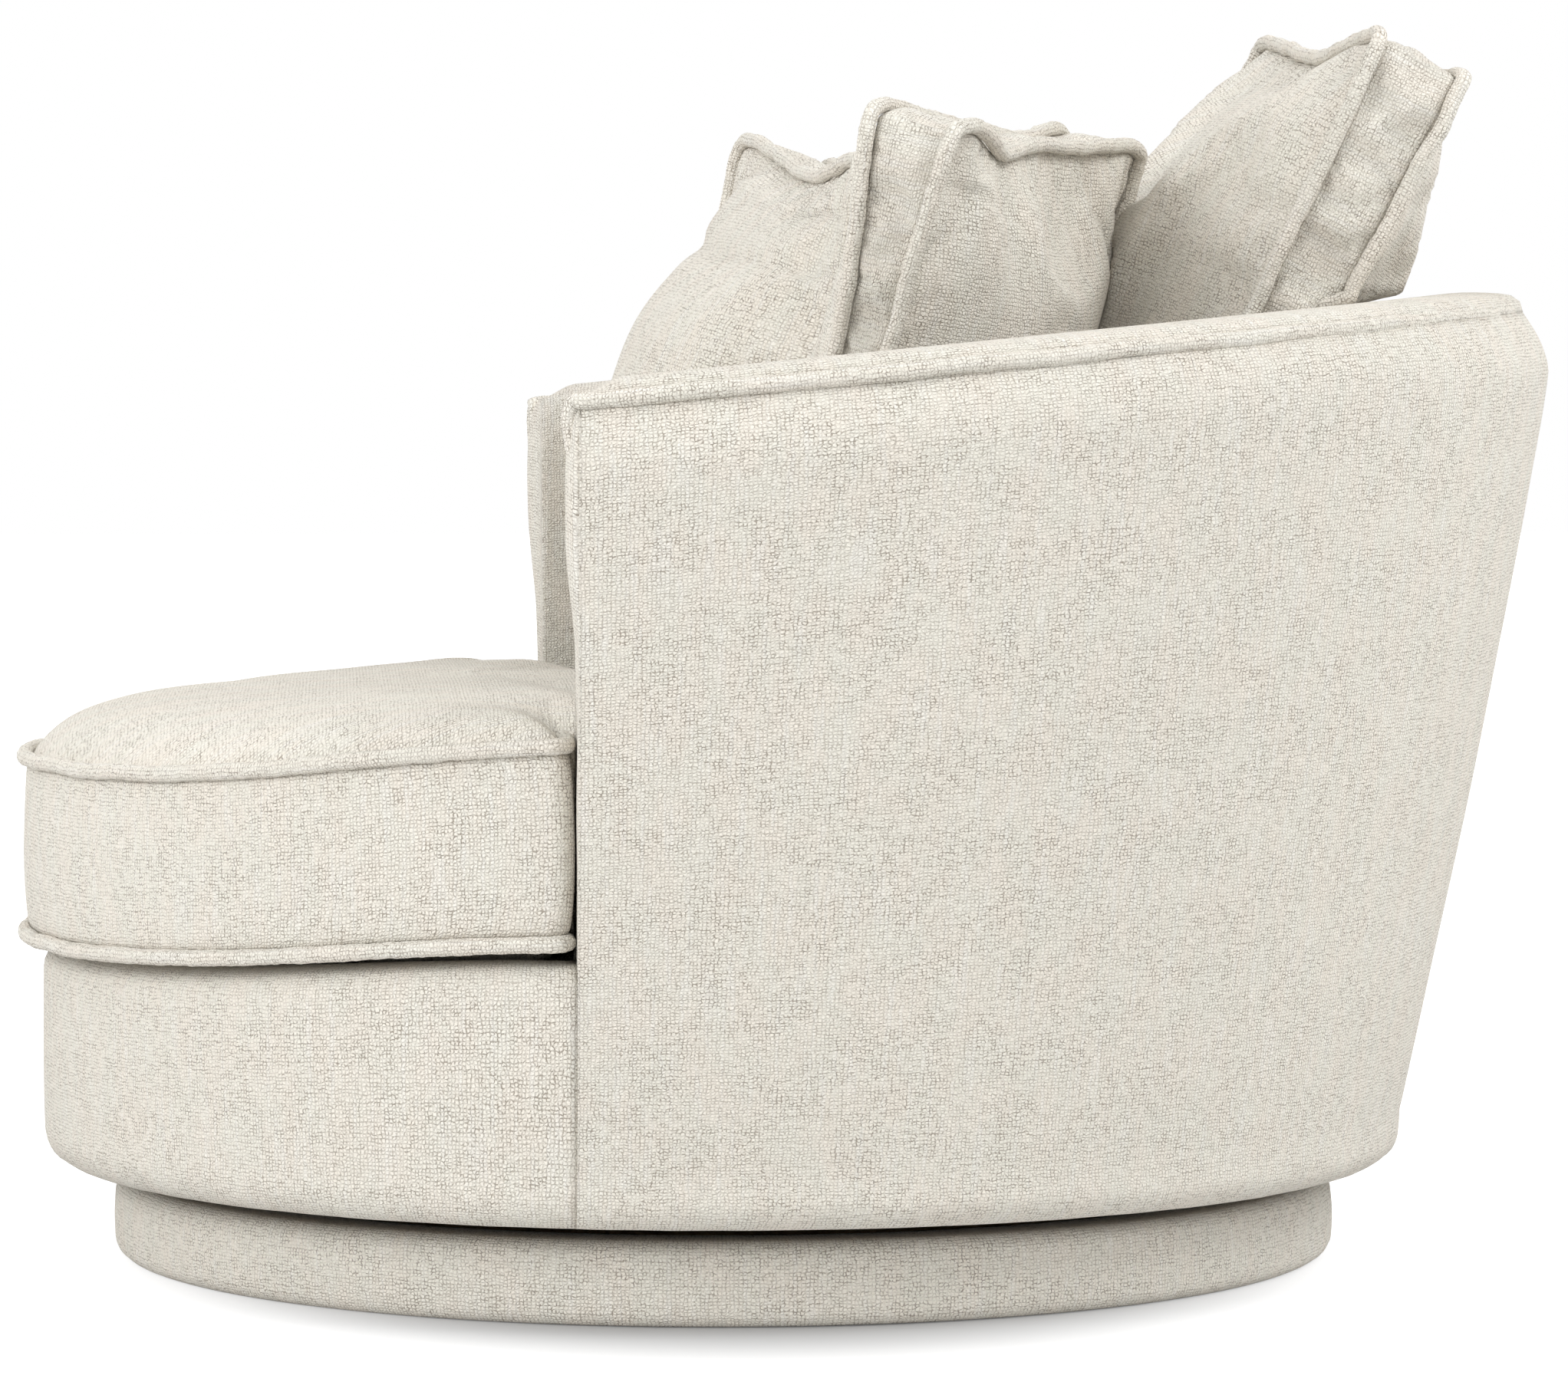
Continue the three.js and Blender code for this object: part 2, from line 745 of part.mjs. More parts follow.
// Piping on the outer top edge, from one arm's front to the other
function barrelWeltGeometry() {
  const seat = weltFlat(barrelWeltRadius, barrelWeltSides) + 2 * touchGap;
  const [outShare, upShare] = barrelWeltSeatShares;
  const path = [];
  for (let k = 0; k <= wallStations; k += 1) {
    const along = (2 * k) / wallStations - 1;
    const height = rimHeight(along) - seamDrop + seat * upShare;
    path.push(wallPoint(along, -seamInset + seat * outShare, height));
  }
  const frontY = armFrontY - armPanelCrown;
  const whole = [path[0].clone().setY(frontY), ...path, path.at(-1).clone().setY(frontY)];
  return tube(whole, barrelWeltRadius, barrelWeltSides, false, (point) => point.clone().setZ(0));
}

// Deck pieces
function deckBoardGeometry() {
  const board = turned([
    [pivotWellRadius, deckBoardBottom],
    [deckFrameRadius - deckBoardChamferWidth, deckBoardBottom],
    [deckFrameRadius, deckBoardBottom + deckBoardChamferHeight],
    [deckFrameRadius, deckBoardTop],
    [pivotWellRadius, deckBoardTop],
  ]);
  const holes = screwHoles(0).map((hole) => hole.rotateX(Math.PI));
  return without(board, holes.map((hole) => hole.translate(0, 0, -touchGap)));
}

function deckFrontCoverGeometry() {
  const end = deckPadRadius + roundFit - deckRadius;
  const lip = arcPoints(-deckLipRound, deckTop - deckLipRound, deckLipRound, 0, 90, 2);
  return frontLayer(band([shellHem, ...shellEdge, ...lip, [end, deckTop]], clothThickness));
}

function deckFrontFoamGeometry() {
  const end = deckPadRadius + roundFit - deckRadius;
  const hoopSide = deckFrameRadius + roundFit - deckRadius;
  const centre = deckTop - deckLipRound;
  return frontLayer([
    [-linerInset, shellEdgeRound],
    ...arcPoints(-deckLipRound, centre, deckLipRound - linerInset, 0, 90, 2),
    [end, deckPadTop],
    [end, wallFoot],
    [hoopSide, wallFoot],
    [hoopSide, shellEdgeRound],
  ]);
}

function springGeometry(x) {
  const end = Math.sqrt(deckRingInnerRadius * deckRingInnerRadius - x * x);
  const waveCount = Math.max(Math.round((2 * end) / springWaveLength), 1);
  const waveLength = (2 * end) / waveCount;
  const path = [new THREE.Vector3(x, -end - springSeat, springCentre)];
  for (let i = 0; i < waveCount; i += 1) {
    springWaveShares.forEach(([side, along]) => {
      const y = -end + (i + along) * waveLength;
      path.push(new THREE.Vector3(x + (side * springWaveWidth) / 2, y, springCentre));
    });
  }
  path.push(new THREE.Vector3(x, end + springSeat, springCentre));
  return tube(path, springWireRadius, springWireSides, false, upwards);
}

function springs() {
  return Array.from({ length: springCount }, (_, i) => {
    const x = (i - (springCount - 1) / 2) * springSpacing;
    return piece(`seat_spring_${i + 1}`, springGeometry(x), steel());
  });
}

function upperScrews() {
  return aroundAxis(screwCount, screwCircle).map(([x, y], i) => {
    const screw = piece(`upper_plate_screw_${i + 1}`, screwGeometry(), steel());
    screw.position.set(x, y, -touchGap);
    screw.rotation.x = Math.PI;
    return screw;
  });
}

function buildSeat() {
  const pivotHole = pivotRadius + pivotClearance;
  const upperPlate = piece('swivel_upper_plate', swivelPlateGeometry(pivotHole), steel());
  upperPlate.position.z = plateThickness;
  upperPlate.rotation.x = Math.PI;
  const dustTop = deckBoardBottom - touchGap;
  const dustOuter = deckRadius - shellEdgeRound - shellHemWidth - dustCoverMargin;
  const dustInner = plateRadius + dustCoverMargin;
  const dustCover = turnedRing(dustInner, dustOuter, dustTop - dustCoverThickness, dustTop);
  const hoopInner = deckFrameRadius - deckHoopWall;
  const hoopBottom = deckBoardTop + touchGap;
  const hoop = turnedRing(hoopInner, deckFrameRadius, hoopBottom, deckRingBottom - touchGap);
  const ring = turnedRing(deckRingInnerRadius, deckFrameRadius, deckRingBottom, deckFrameTop);
  return groupOf(
    upperPlate,
    ...upperScrews(),
    piece('dust_cover', dustCover, blackCloth()),
    piece('deck_bottom_board', deckBoardGeometry(), plywood()),
    piece('deck_hoop', hoop, plywood()),
    piece('deck_spring_ring', ring, plywood()),
    ...springs(),
    piece('deck_pad', turnedRing(0, deckPadRadius, deckPadBottom, deckPadTop), foam()),
    piece('deck_cloth', turnedRing(0, deckPadRadius, deckClothBottom, deckTop), chenille()),
    piece('deck_front_foam', deckFrontFoamGeometry(), foam()),
    piece('deck_front_cover', deckFrontCoverGeometry(), chenille()),
    ...ribShares.map((share, i) => piece(`wall_rib_${i + 1}`, ribGeometry(share), plywood())),
    piece('left_arm_post', armPostGeometry(1), plywood()),
    piece('right_arm_post', armPostGeometry(-1), plywood()),
    piece('wall_top_rail', wallLayer(railSection), plywood()),
    piece('wall_outer_liner', wallLayer(linerSection), fibreboard()),
    piece('wall_inner_foam', wallLayer(foamSection), foam()),
    piece('wall_top_foam', wallLayer(rollSection), foam()),
    piece('outside_cover', wallLayer(outsideCoverSection), chenille()),
    piece('inside_cover', wallLayer(insideCoverSection), chenille()),
    piece('left_arm_front_panel', armPanelGeometry(1), chenille()),
    piece('right_arm_front_panel', armPanelGeometry(-1), chenille()),
    piece('barrel_welt', barrelWeltGeometry(), chenille()),
  );
}

// Where the cushion's welts lie from its edges, how far they reach out, and the lower edge that they set
const cushionWeltSeat = (cushionWeltRadius + 2 * touchGap) * Math.SQRT1_2;
const cushionWeltReach = cushionWeltSeat + cushionWeltRadius;
const cushionSeamRise = cushionWeltReach + touchGap;

// Seat cushion: its plan is a wide round in front of the arms and a narrower one between them
function cushionOutline(inset) {
  const wide = cushionRadius - inset;
  const neck = cushionNeckRadius - inset;
  const backY = armFrontY - armPanelCrown - touchGap - cushionWeltReach - inset;
  const round = cushionEarRound;
  const earY = backY - round;
  const earX = Math.sqrt((wide - round) ** 2 - earY ** 2);
  const earTurn = THREE.MathUtils.radToDeg(Math.atan2(earY, earX));
  const neckTurn = THREE.MathUtils.radToDeg(Math.asin(backY / neck));
  const half = [
    ...arcPoints(0, 0, wide, -90, earTurn, cushionFrontSteps),
    ...arcPoints(earX, earY, round, earTurn, 90, cushionEarSteps).slice(1),
    ...arcPoints(0, 0, neck, neckTurn, 90, cushionBackSteps),
  ];
  return [...half, ...half.slice(1, -1).reverse().map(([x, y]) => [-x, y])];
}

const smoothStep = (value) => THREE.MathUtils.smoothstep(value, 0, 1);

// How far the arms' fronts squeeze the cushion's edge up
function cushionLiftAt([, y]) {
  const frontEdge = armFrontY - armPanelCrown;
  const rise = smoothStep((y - frontEdge + cushionLiftReach) / cushionLiftReach);
  const fade = 1 - smoothStep((y - frontEdge) / cushionLiftFade);
  return cushionLift * rise * fade;
}

// Crown of the cushion, which the pillows press down behind the sitter
function cushionCrownAt(y) {
  return cushionCrown - cushionPress * smoothStep((y - cushionPressStart) / cushionPressReach);
}

// The cushion with its bottom at 0, drawn in all round by an inset
function cushionForm(inset) {
  const outline = cushionOutline(inset);
  const bulged = cushionOutline(inset - cushionBulge);
  const low = cushionSeamRise + inset;
  const high = cushionSeamRise + cushionBoxing - inset;
  const ringAt = (share, heightAt) => outline.map(([x, y]) => {
    const inY = cushionCentreY + (y - cushionCentreY) * share;
    return new THREE.Vector3(x * share, inY, heightAt([x, y], inY));
  });
  const middle = bulged.map(([x, y], i) => {
    return new THREE.Vector3(x, y, (low + high) / 2 + cushionLiftAt(outline[i]));
  });
  return loft([
    ringAt(cushionBottomShare, () => inset),
    ringAt(1, (edge) => low + cushionLiftAt(edge)),
    middle,
    ringAt(1, (edge) => high + cushionLiftAt(edge)),
    ...cushionTopShares.map((share) => ringAt(share, (edge, y) => {
      const crown = cushionCrownAt(y) * (1 - share ** cushionCrownPower);
      return high + crown + cushionLiftAt(edge) * share * share;
    })),
  ]);
}

function cushionWelt(level, towards) {
  const outline = cushionOutline(-cushionWeltSeat);
  const inner = cushionOutline(0);
  const path = outline.map(([x, y], i) => {
    return new THREE.Vector3(x, y, level + towards * cushionWeltSeat + cushionLiftAt(inner[i]));
  });
  return tube(path, cushionWeltRadius, cushionWeltSides, true, upwards);
}

function buildCushion() {
  const top = cushionSeamRise + cushionBoxing;
  const slotDepth = 2 * (cushionWall + cushionBulge);
  const slot = new THREE.BoxGeometry(cushionNeckRadius * zipShare, slotDepth + overrun, zipWidth);
  slot.translate(0, cushionNeckRadius - slotDepth + (slotDepth + overrun) / 2, (cushionSeamRise + top) / 2);
  const cover = without(cushionForm(0), [cushionForm(cushionWall), slot]);
  const cushion = groupOf(
    piece('seat_cushion_cover', cover, chenille()),
    piece('seat_cushion_foam', cushionForm(cushionWall + touchGap), foam()),
    piece('seat_cushion_top_welt', cushionWelt(top, 1), chenille()),
    piece('seat_cushion_bottom_welt', cushionWelt(cushionSeamRise, -1), chenille()),
  );
  cushion.position.z = deckTop + touchGap;
  return cushion;
}

// Height of a pillow's face over its edge: 0 round the edge and 1 at its fullest
function pillowDome(pillow, across, up) {
  const shifted = up - pillow.riseShare * (1 - up * up);
  return (1 - Math.abs(across) ** pillowDomePower) * (1 - Math.abs(shifted) ** pillowDomePower);
}

// A point of a pillow's face: across and up run from -1 to 1, and front is -1 or the back 1
function pillowPoint(pillow, across, up, face, inset) {
  const halfWidth = pillow.width / 2 - inset;
  const halfHeight = pillow.height / 2 - inset;
  const halfGusset = pillow.gusset / 2 - inset;
  const pinch = 1 - pillowCornerPinchShare * (across * up) ** pillowPinchPower;
  const crown = (face < 0 ? pillow.frontCrown : pillow.backCrown) * pillowDome(pillow, across, up);
  return new THREE.Vector3(
    halfWidth * across * (1 - pillowDrawnInShare * (1 - up * up)),
    pillow.gusset / 2 + face * (halfGusset * pinch + crown),
    pillow.height / 2 + halfHeight * up * (1 - pillowDrawnInShare * (1 - across * across)),
  );
}

// Places [across, up] round a pillow's edge, counterclockwise from its lower corner
function pillowEdge(cells) {
  const steps = Array.from({ length: cells }, (_, i) => (2 * i) / cells - 1);
  return [
    ...steps.map((step) => [step, -1]),
    ...steps.map((step) => [1, step]),
    ...steps.map((step) => [-step, 1]),
    ...steps.map((step) => [-1, -step]),
  ];
}

// A pillow drawn in all round by an inset
function pillowForm(pillow, inset, cells = pillowCells) {
  const count = cells + 1;
  const points = [];
  [-1, 1].forEach((face) => {
    for (let j = 0; j < count; j += 1) {
      for (let i = 0; i < count; i += 1) {
        points.push(pillowPoint(pillow, (2 * i) / cells - 1, (2 * j) / cells - 1, face, inset));
      }
    }
  });
  const backStart = count * count;
  const faces = [];
  for (let j = 0; j < cells; j += 1) {
    for (let i = 0; i < cells; i += 1) {
      const a = j * count + i;
      const b = a + 1;
      const c = b + count;
      const d = a + count;
      faces.push([a, b, c], [a, c, d]);
      const [backA, backB, backC, backD] = [a, b, c, d].map((index) => index + backStart);
      faces.push([backA, backC, backB], [backA, backD, backC]);
    }
  }
  const edge = pillowEdge(cells).map(([across, up]) => {
    return Math.round(((up + 1) * cells) / 2) * count + Math.round(((across + 1) * cells) / 2);
  });
  edge.forEach((a, i) => {
    const b = edge[(i + 1) % edge.length];
    faces.push([a, a + backStart, b + backStart], [a, b + backStart, b]);
  });
  return solidGeometry(points, faces);
}

// How far a pillow's welts lie from its edges on each side, and how far they reach out
const pillowWeltSeat = (weltFlat(pillowWeltRadius, pillowWeltSides) + 2 * touchGap) * Math.SQRT1_2;
const pillowWeltReach = pillowWeltSeat + pillowWeltRadius;

function pillowWelt(pillow, face) {
  const path = pillowEdge(pillowCells).map(([across, up]) => {
    const point = pillowPoint(pillow, across, up, face, 0);
    const outAcross = Math.abs(across) === 1 ? Math.sign(across) * pillowWeltSeat : 0;
    const outUp = Math.abs(up) === 1 ? Math.sign(up) * pillowWeltSeat : 0;
    return point.add(new THREE.Vector3(outAcross, face * pillowWeltSeat, outUp));
  });
  return tube(path, pillowWeltRadius, pillowWeltSides, true, () => new THREE.Vector3(0, 1, 0));
}

// Cutters for what presses into a pillow: each is a neighbour's form, grown and seen from the pillow
function pressers(group, neighbours, grow) {
  const toLocal = group.matrixWorld.clone().invert();
  return neighbours.map(({ pillow, group: other }) => {
    return pillowForm(pillow, -grow).applyMatrix4(other.matrixWorld).applyMatrix4(toLocal);
  });
}

// Least upright distance from the corners of some meshes to other meshes
function uprightGap(from, onto, direction) {
  const caster = new THREE.Raycaster();
  const point = new THREE.Vector3();
  let least = Infinity;
  from.forEach((mesh) => {
    const places = mesh.geometry.getAttribute('position');
    for (let i = 0; i < places.count; i += 1) {
      point.fromBufferAttribute(places, i).applyMatrix4(mesh.matrixWorld);
      caster.set(point, direction);
      const [hit] = caster.intersectObjects(onto, false);
      least = Math.min(least, hit ? hit.distance : Infinity);
    }
  });
  return least;
}

// A pillow at its lean, lowered until it stands on the seat
function placedPillow(pillow, seat) {
  const group = groupOf(
    piece(`${pillow.name}_cover`, pillowForm(pillow, 0), chenille()),
    piece(`${pillow.name}_front_welt`, pillowWelt(pillow, -1), chenille()),
    piece(`${pillow.name}_back_welt`, pillowWelt(pillow, 1), chenille()),
  );
  const angles = [pillow.turnAngle, pillow.leanAngle, pillow.rollAngle];
  const [turn, lean, roll] = angles.map(THREE.MathUtils.degToRad);
  group.rotation.set(-lean, roll, turn, 'ZYX');
  group.position.set(pillow.footX, pillow.footY, cushionBoxing + cushionCrown + pillow.height);
  group.updateMatrixWorld(true);
  const down = uprightGap(group.children, seat, upAxis.clone().negate());
  const up = uprightGap(seat, group.children, upAxis);
  group.position.z -= Math.min(down, up) - pillowRestGap;
  group.updateMatrixWorld(true);
  return { pillow, group };
}

// Opens the cover round its filling, cuts the zip's slot, and presses both where neighbours lean in
function fillPillow({ pillow, group }, neighbours) {
  const cover = group.children[0];
  const drawnIn = (pillow.height / 2) * pillowDrawnInShare;
  const slotHeight = drawnIn + 2 * pillowWall;
  const slot = new THREE.BoxGeometry(pillow.width * zipShare, zipWidth, slotHeight + overrun);
  slot.translate(0, pillow.gusset / 2, slotHeight - (slotHeight + overrun) / 2);
  const pressed = (inset, cells) => {
    const tools = pressers(group, neighbours, roundFit + pillowWeltReach + inset);
    return without(pillowForm(pillow, inset, cells), tools);
  };
  const filling = pressed(pillowWall + touchGap, fillingCells);
  cover.geometry = without(pressed(0, pillowCells), [pressed(pillowWall, fillingCells), slot]);
  group.add(piece(`${pillow.name}_filling`, filling, foam()));
}

function buildPillows(cushion) {
  cushion.updateMatrixWorld(true);
  const seat = cushion.children.filter((mesh) => mesh.name === 'seat_cushion_cover');
  const flatSeat = seat.map((mesh) => piece(mesh.name, mesh.geometry, mesh.material));
  const left = placedPillow(leftPillow, flatSeat);
  const right = placedPillow(rightPillow, flatSeat);
  const back = placedPillow(backPillow, flatSeat);
  fillPillow(left, []);
  fillPillow(right, []);
  fillPillow(back, [left]);
  return [left.group, right.group, back.group];
}

function buildChair() {
  const seat = buildSeat();
  const cushion = buildCushion();
  cushion.add(...buildPillows(cushion));
  seat.add(cushion);
  seat.position.z = shellBottom;
  return groupOf(buildBase(), seat);
}

export default buildChair();
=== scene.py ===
import json
import math

import bpy
import numpy
from mathutils import Matrix, Vector, noise
from mathutils.bvhtree import BVHTree


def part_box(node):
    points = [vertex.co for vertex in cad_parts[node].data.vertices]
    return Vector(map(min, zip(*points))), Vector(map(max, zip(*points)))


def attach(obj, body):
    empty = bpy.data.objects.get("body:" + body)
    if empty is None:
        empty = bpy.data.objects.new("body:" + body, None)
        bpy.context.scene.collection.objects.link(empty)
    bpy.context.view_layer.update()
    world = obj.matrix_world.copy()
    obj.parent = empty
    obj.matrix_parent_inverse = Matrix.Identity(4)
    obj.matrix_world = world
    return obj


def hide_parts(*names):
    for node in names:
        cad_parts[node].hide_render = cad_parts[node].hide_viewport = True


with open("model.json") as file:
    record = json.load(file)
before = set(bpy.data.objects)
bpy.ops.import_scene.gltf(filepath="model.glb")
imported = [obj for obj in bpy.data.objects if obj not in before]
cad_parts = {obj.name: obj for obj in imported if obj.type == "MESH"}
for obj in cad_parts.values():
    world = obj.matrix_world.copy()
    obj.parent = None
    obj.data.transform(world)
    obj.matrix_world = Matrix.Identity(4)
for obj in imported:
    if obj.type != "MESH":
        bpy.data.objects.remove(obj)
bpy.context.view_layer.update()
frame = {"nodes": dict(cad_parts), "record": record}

# Camera, lamps and floor
CAMERA_PLACE = (4.9831, -0.3005, 0.6531)
CAMERA_TARGET = (0, 0.048, 0.435)
CAMERA_LENS = 145.8
CAMERA_SENSOR = 36
CAMERA_REACH = 50
LAMPS = {"left_lamp": ((2.6, -3.6, 2.4), 92), "right_lamp": ((1.7, 3.3, 3.8), 102)}
LAMP_SIZE = 2.4
LAMP_TARGET = (0, 0, 0.4)
WORLD_LIGHT = 0.92
WHITE = (1, 1, 1, 1)
FLOOR_HALF = 30.0
FLOOR_GREY = (0.72, 0.72, 0.72, 1)
FLOOR_SEEN_GREY = (0.34, 0.34, 0.34, 1)
# Painted shadow on the floor: its emission is this weak at the plinth and rises to full between the inner
# and outer reach, in an oval that reaches further towards the camera
FLOOR_GLOW_IN_PAINTED_SHADOW = 0.08
PAINTED_SHADOW_OVAL = 1.42
SHADOW_INNER = 0.44
SHADOW_OUTER = 0.78

# Sizes in metres; heights of the shell are counted from its bottom edge
SHELL_BOTTOM = 0.075
SHELL_ROUND = 0.024
SHELL_HEM = 0.038
CLOTH = 0.0025

PLINTH_RADIUS = 0.476
PLINTH_HEIGHT = 0.062
PLINTH_ROUND = 0.012
PLINTH_TOP_HEM = 0.045
PLINTH_FOOT_HEM = 0.025
PLINTH_FOOT_GAP = 0.0004
PLINTH_BELLY = 0.002
PLINTH_SEAM_PLACE = (0.4727, -0.0556)
PLINTH_SEAM_DEPTH = 0.0022
PLINTH_SEAM_WIDTH = 0.0028

DECK_RADIUS = 0.531
DECK_TOP = 0.170
DECK_LIP = 0.020
DECK_BELLY = 0.001
DECK_SEAM_TUCK = 0.001
DECK_SEAM_WIDTH = 0.005
DECK_RAISE = 0.020
DECK_RAISE_START = 0.48
DECK_RAISE_LENGTH = 0.32
DECK_RAISE_EDGE = 0.06
DECK_CLOTH_RADIUS = 0.434
DECK_CLOTH_OVERLAP = 0.001
DECK_CLOTH_HOLE = 0.01
DECK_CLOTH_SINK = 0.0008
DUST_COVER_HOLE = 0.166

SIDE_FLARE = 0.069
BACK_FLARE = 0.116
FLARE_START = 0.035
FLARE_TOP = 0.615
FLARE_BOW_SHARE = 0.12
ARM_TOP = 0.600
BACK_TOP = 0.672
ARM_FRONT_Y = -0.135
ARM_THICKNESS = 0.105
BACK_THICKNESS = 0.137
WALL_FOOT = 0.1503
SHOULDER = 0.065
SEAM_INSET = 0.018
SEAM_DROP = 0.013
INNER_SHOULDER = 0.064
BACK_TUCK = 0.004
BACK_TUCK_START = 0.570
ROLL_END = 0.030
ROLL_END_SINK = 0.65
# The roll from the outer to the inner seam: share of its width, and share of the inner shoulder's drop
CAP_SHARES = ((0, 0.203), (0.01, 0.11), (0.06, 0.01), (0.2, -0.03), (0.45, -0.03), (0.68, 0.05),
              (0.86, 0.27), (0.96, 0.57), (1, 1))
COVER_LEAST = -0.0008
COVER_END = 0.0005
LINING_END = CLOTH - 0.0002

# The arms' fronts: y of each one's seams, and how far the pad stands out
# A step is more, start and length of the rise; the fade inwards is less, start and length
ARM_SEAM_Y = {1: -0.135, -1: -0.129}
PAD_FOOT_GAP = 0.001
PAD_CROWN = 0.002
PAD_CROWN_STEPS = ((0.003, 0.34, 0.12), (0.006, 0.41, 0.09))
PAD_FADE = (0.85, 0.25, 0.35)
PAD_TOP_ROUND = 0.2

# The barrel's piping, and how it turns down an arm's front corner: drop, way forward and way out
BARREL_WELT = 0.0062
BARREL_WELT_OUT = 0.003
BARREL_WELT_RISE = 0.001
BARREL_WELT_BACK_SINK = 0.011
BARREL_WELT_END_Y = -0.131
TAIL_FRONT = 0.001
TAIL_STEPS = ((0.001, 0.001, 0.001), (0.005, 0.0035, 0.001), (0.013, 0.0045, 0.0015),
              (0.024, 0.0035, 0.003), (0.036, 0.0005, 0.0045), (0.046, -0.005, 0.003))
TAIL_REACH = {1: 1.0, -1: 0.2}
WELT_STEP = 0.003
WELT_SIDES = 14
WELT_WANDER = 0.0006
WELT_TUFTS = (0.13, 0.005)
WELT_LUMPS = (0.06, 0.02)

CUSHION_BOTTOM = 0.2453
CUSHION_RADIUS = 0.544
CUSHION_NECK = 0.428
CUSHION_EAR = 0.013
CUSHION_CENTRE_Y = -0.200
CUSHION_INSET = 0.002
CUSHION_BACK_GAP = 0.003
CUSHION_BACK_EDGE = 0.003
CUSHION_BACK_SWOLLEN = 0.004
CUSHION_BOXING = 0.130
CUSHION_BULGE = 0.005
CUSHION_BOTTOM_ROWS = 10
CUSHION_SIDE_ROWS = 22
CUSHION_TOP_ROWS = 44
# Rises of its top and how far in each one reaches; then depth, start, length and edge of the pillows' press
CUSHION_CROWN = ((0.036, 0.024), (0.032, 0.16))
CUSHION_PRESS = (0.030, 0.09, 0.15, 0.06)
CUSHION_FOOT_GAP = 0.0006
CUSHION_FOOT_TURN = (0.72, 0.28)
CUSHION_TOP_SPREAD = 0.9
CUSHION_BELLY_POWER = 0.4
CUSHION_PLEAT = 0.0017
CUSHION_PLEAT_LENGTH = 0.022
CUSHION_SIDE_PLEAT = 0.7
CUSHION_SIDE_PLEAT_REACH = 0.014
CUSHION_TOP_PLEAT_REACH = 0.022
TOP_LIFT_REACH = 0.12
CUSHION_WELT = 0.006
CUSHION_WELT_SEAT = (CUSHION_WELT + 0.0006) * math.sqrt(0.5)
CUSHION_WELT_OUT = 0.8
CUSHION_WELT_UP = 0.7
CUSHION_SEAM = CUSHION_WELT_SEAT + CUSHION_WELT + 0.0003
# How the arms squeeze the cushion's seams up: height, start and length of the rise
TOP_LIFT = (0.031, 0.480, 0.345)
BOTTOM_LIFT = (0.028, 0.520, 0.385)
LIFT_FADE_START = 0.139
LIFT_FADE_LENGTH = 0.110

PILLOW_WELT = 0.006
PILLOW_WELT_OUT = 0.8
PILLOW_WELT_ALONG = 0.65
PILLOW_WELT_GAP = 0.0005
PILLOW_WELT_WANDER = 0.002
PILLOW_CELLS = 72
PILLOW_BANDS = 10
PILLOW_CORNER_POWER = 9
PILLOW_WAIST = 0.12
PILLOW_EDGE_FADE = 5
PILLOW_GAP = 0.0008
PILLOW_BESIDE = 0.12
PILLOW_TOP = 0.62
GUSSET_BULGE = 0.005
GUSSET_CRUMPLE = 0.006
LINING_GAP = 0.003
# How a pillow's cloth is blown up while its seams are held
INFLATION = {"quality": 6, "mass": 0.25, "tension_stiffness": 18, "compression_stiffness": 18,
             "shear_stiffness": 8, "bending_stiffness": 0.4, "use_pressure": True,
             "uniform_pressure_force": 2.5, "shrink_min": -0.035, "shrink_max": -0.035,
             "vertex_group_mass": "seams"}
INFLATION_FRAMES = 16
INFLATION_LIMIT = 0.010
INFLATION_GIVE = 0.3

# Waves and puckers of the cloth: height, length and seed
COVER_WAVE = (0.0016, 0.16, 1)
HEM_PUCKER = (0.0018, 0.03, 2)
RIM_PUCKER = (0.0012, 0.028, 3)
LINING_PULL = (0.0022, 0.035, 4)
LINING_WAVE = (0.002, 0.12, 5)
PAD_WAVES = {1: (0.0012, 0.07, 9), -1: (0.0012, 0.07, 7)}
DECK_WAVE = (0.0015, 0.13, 11)
DECK_PUCKER = (0.0018, 0.03, 12)
DECK_CLOTH_WAVE = (0.0007, 0.08, 14)
PLINTH_WAVE = (0.0014, 0.11, 15)
PLINTH_RIPPLE = (0.0008, 0.03, 16)
BARREL_WELT_WAVE = (0.0015, 0.07, 17)
CUSHION_GATHER = (0.001, 0.05, 21)
BOXING_WAVE = (0.0012, 0.09, 22)
CUSHION_TOP_WAVE = (0.002, 0.11, 23)
CUSHION_WELT_WAVES = {"top": (0.0014, 0.06, 26), "bottom": (0.0014, 0.06, 24)}
DUST_COVER_WAVE = (0.0005, 0.05, 31)
HEM_PUCKER_REACH = 0.03
RIM_PUCKER_REACH = 0.035
LINING_PULL_REACH = 0.02

# Yarns, a painted shade for the tufts' edges, and the lengths of the woven pattern in millimetres
YARN_WARM = (0.91, 0.855, 0.765, 1)
YARN_COOL = (0.89, 0.862, 0.775, 1)
YARN_BRIGHT = (0.94, 0.92, 0.87, 1)
YARN_DULL = (0.62, 0.56, 0.47, 1)
# Painted shade: the colour each tuft darkens towards at its edge, standing in for shade in the gaps between
# tufts
TUFT_EDGE_PAINTED_SHADE = (0.4, 0.34, 0.27, 1)
YARN_DARK = (0.22, 0.17, 0.125, 1)
SHEEN_TINT = (1, 0.97, 0.92, 1)
TUFT = (3.0, 2.6)
ROW_WANDER, ROW_WANDER_LENGTH = 3.2, 1 / 0.11
FRAY, FRAY_LENGTH = 1.7, 1.6
DASH_ACROSS = (11, 3.0)
DASH_DOWN = (3.2, 12)
DASH_BREAK = (2.6, 2.6)
PATCH = (38, 38)
TONE = (24, 60)
SLUB = (5, 70)
PILE = (1.8, 1.8)

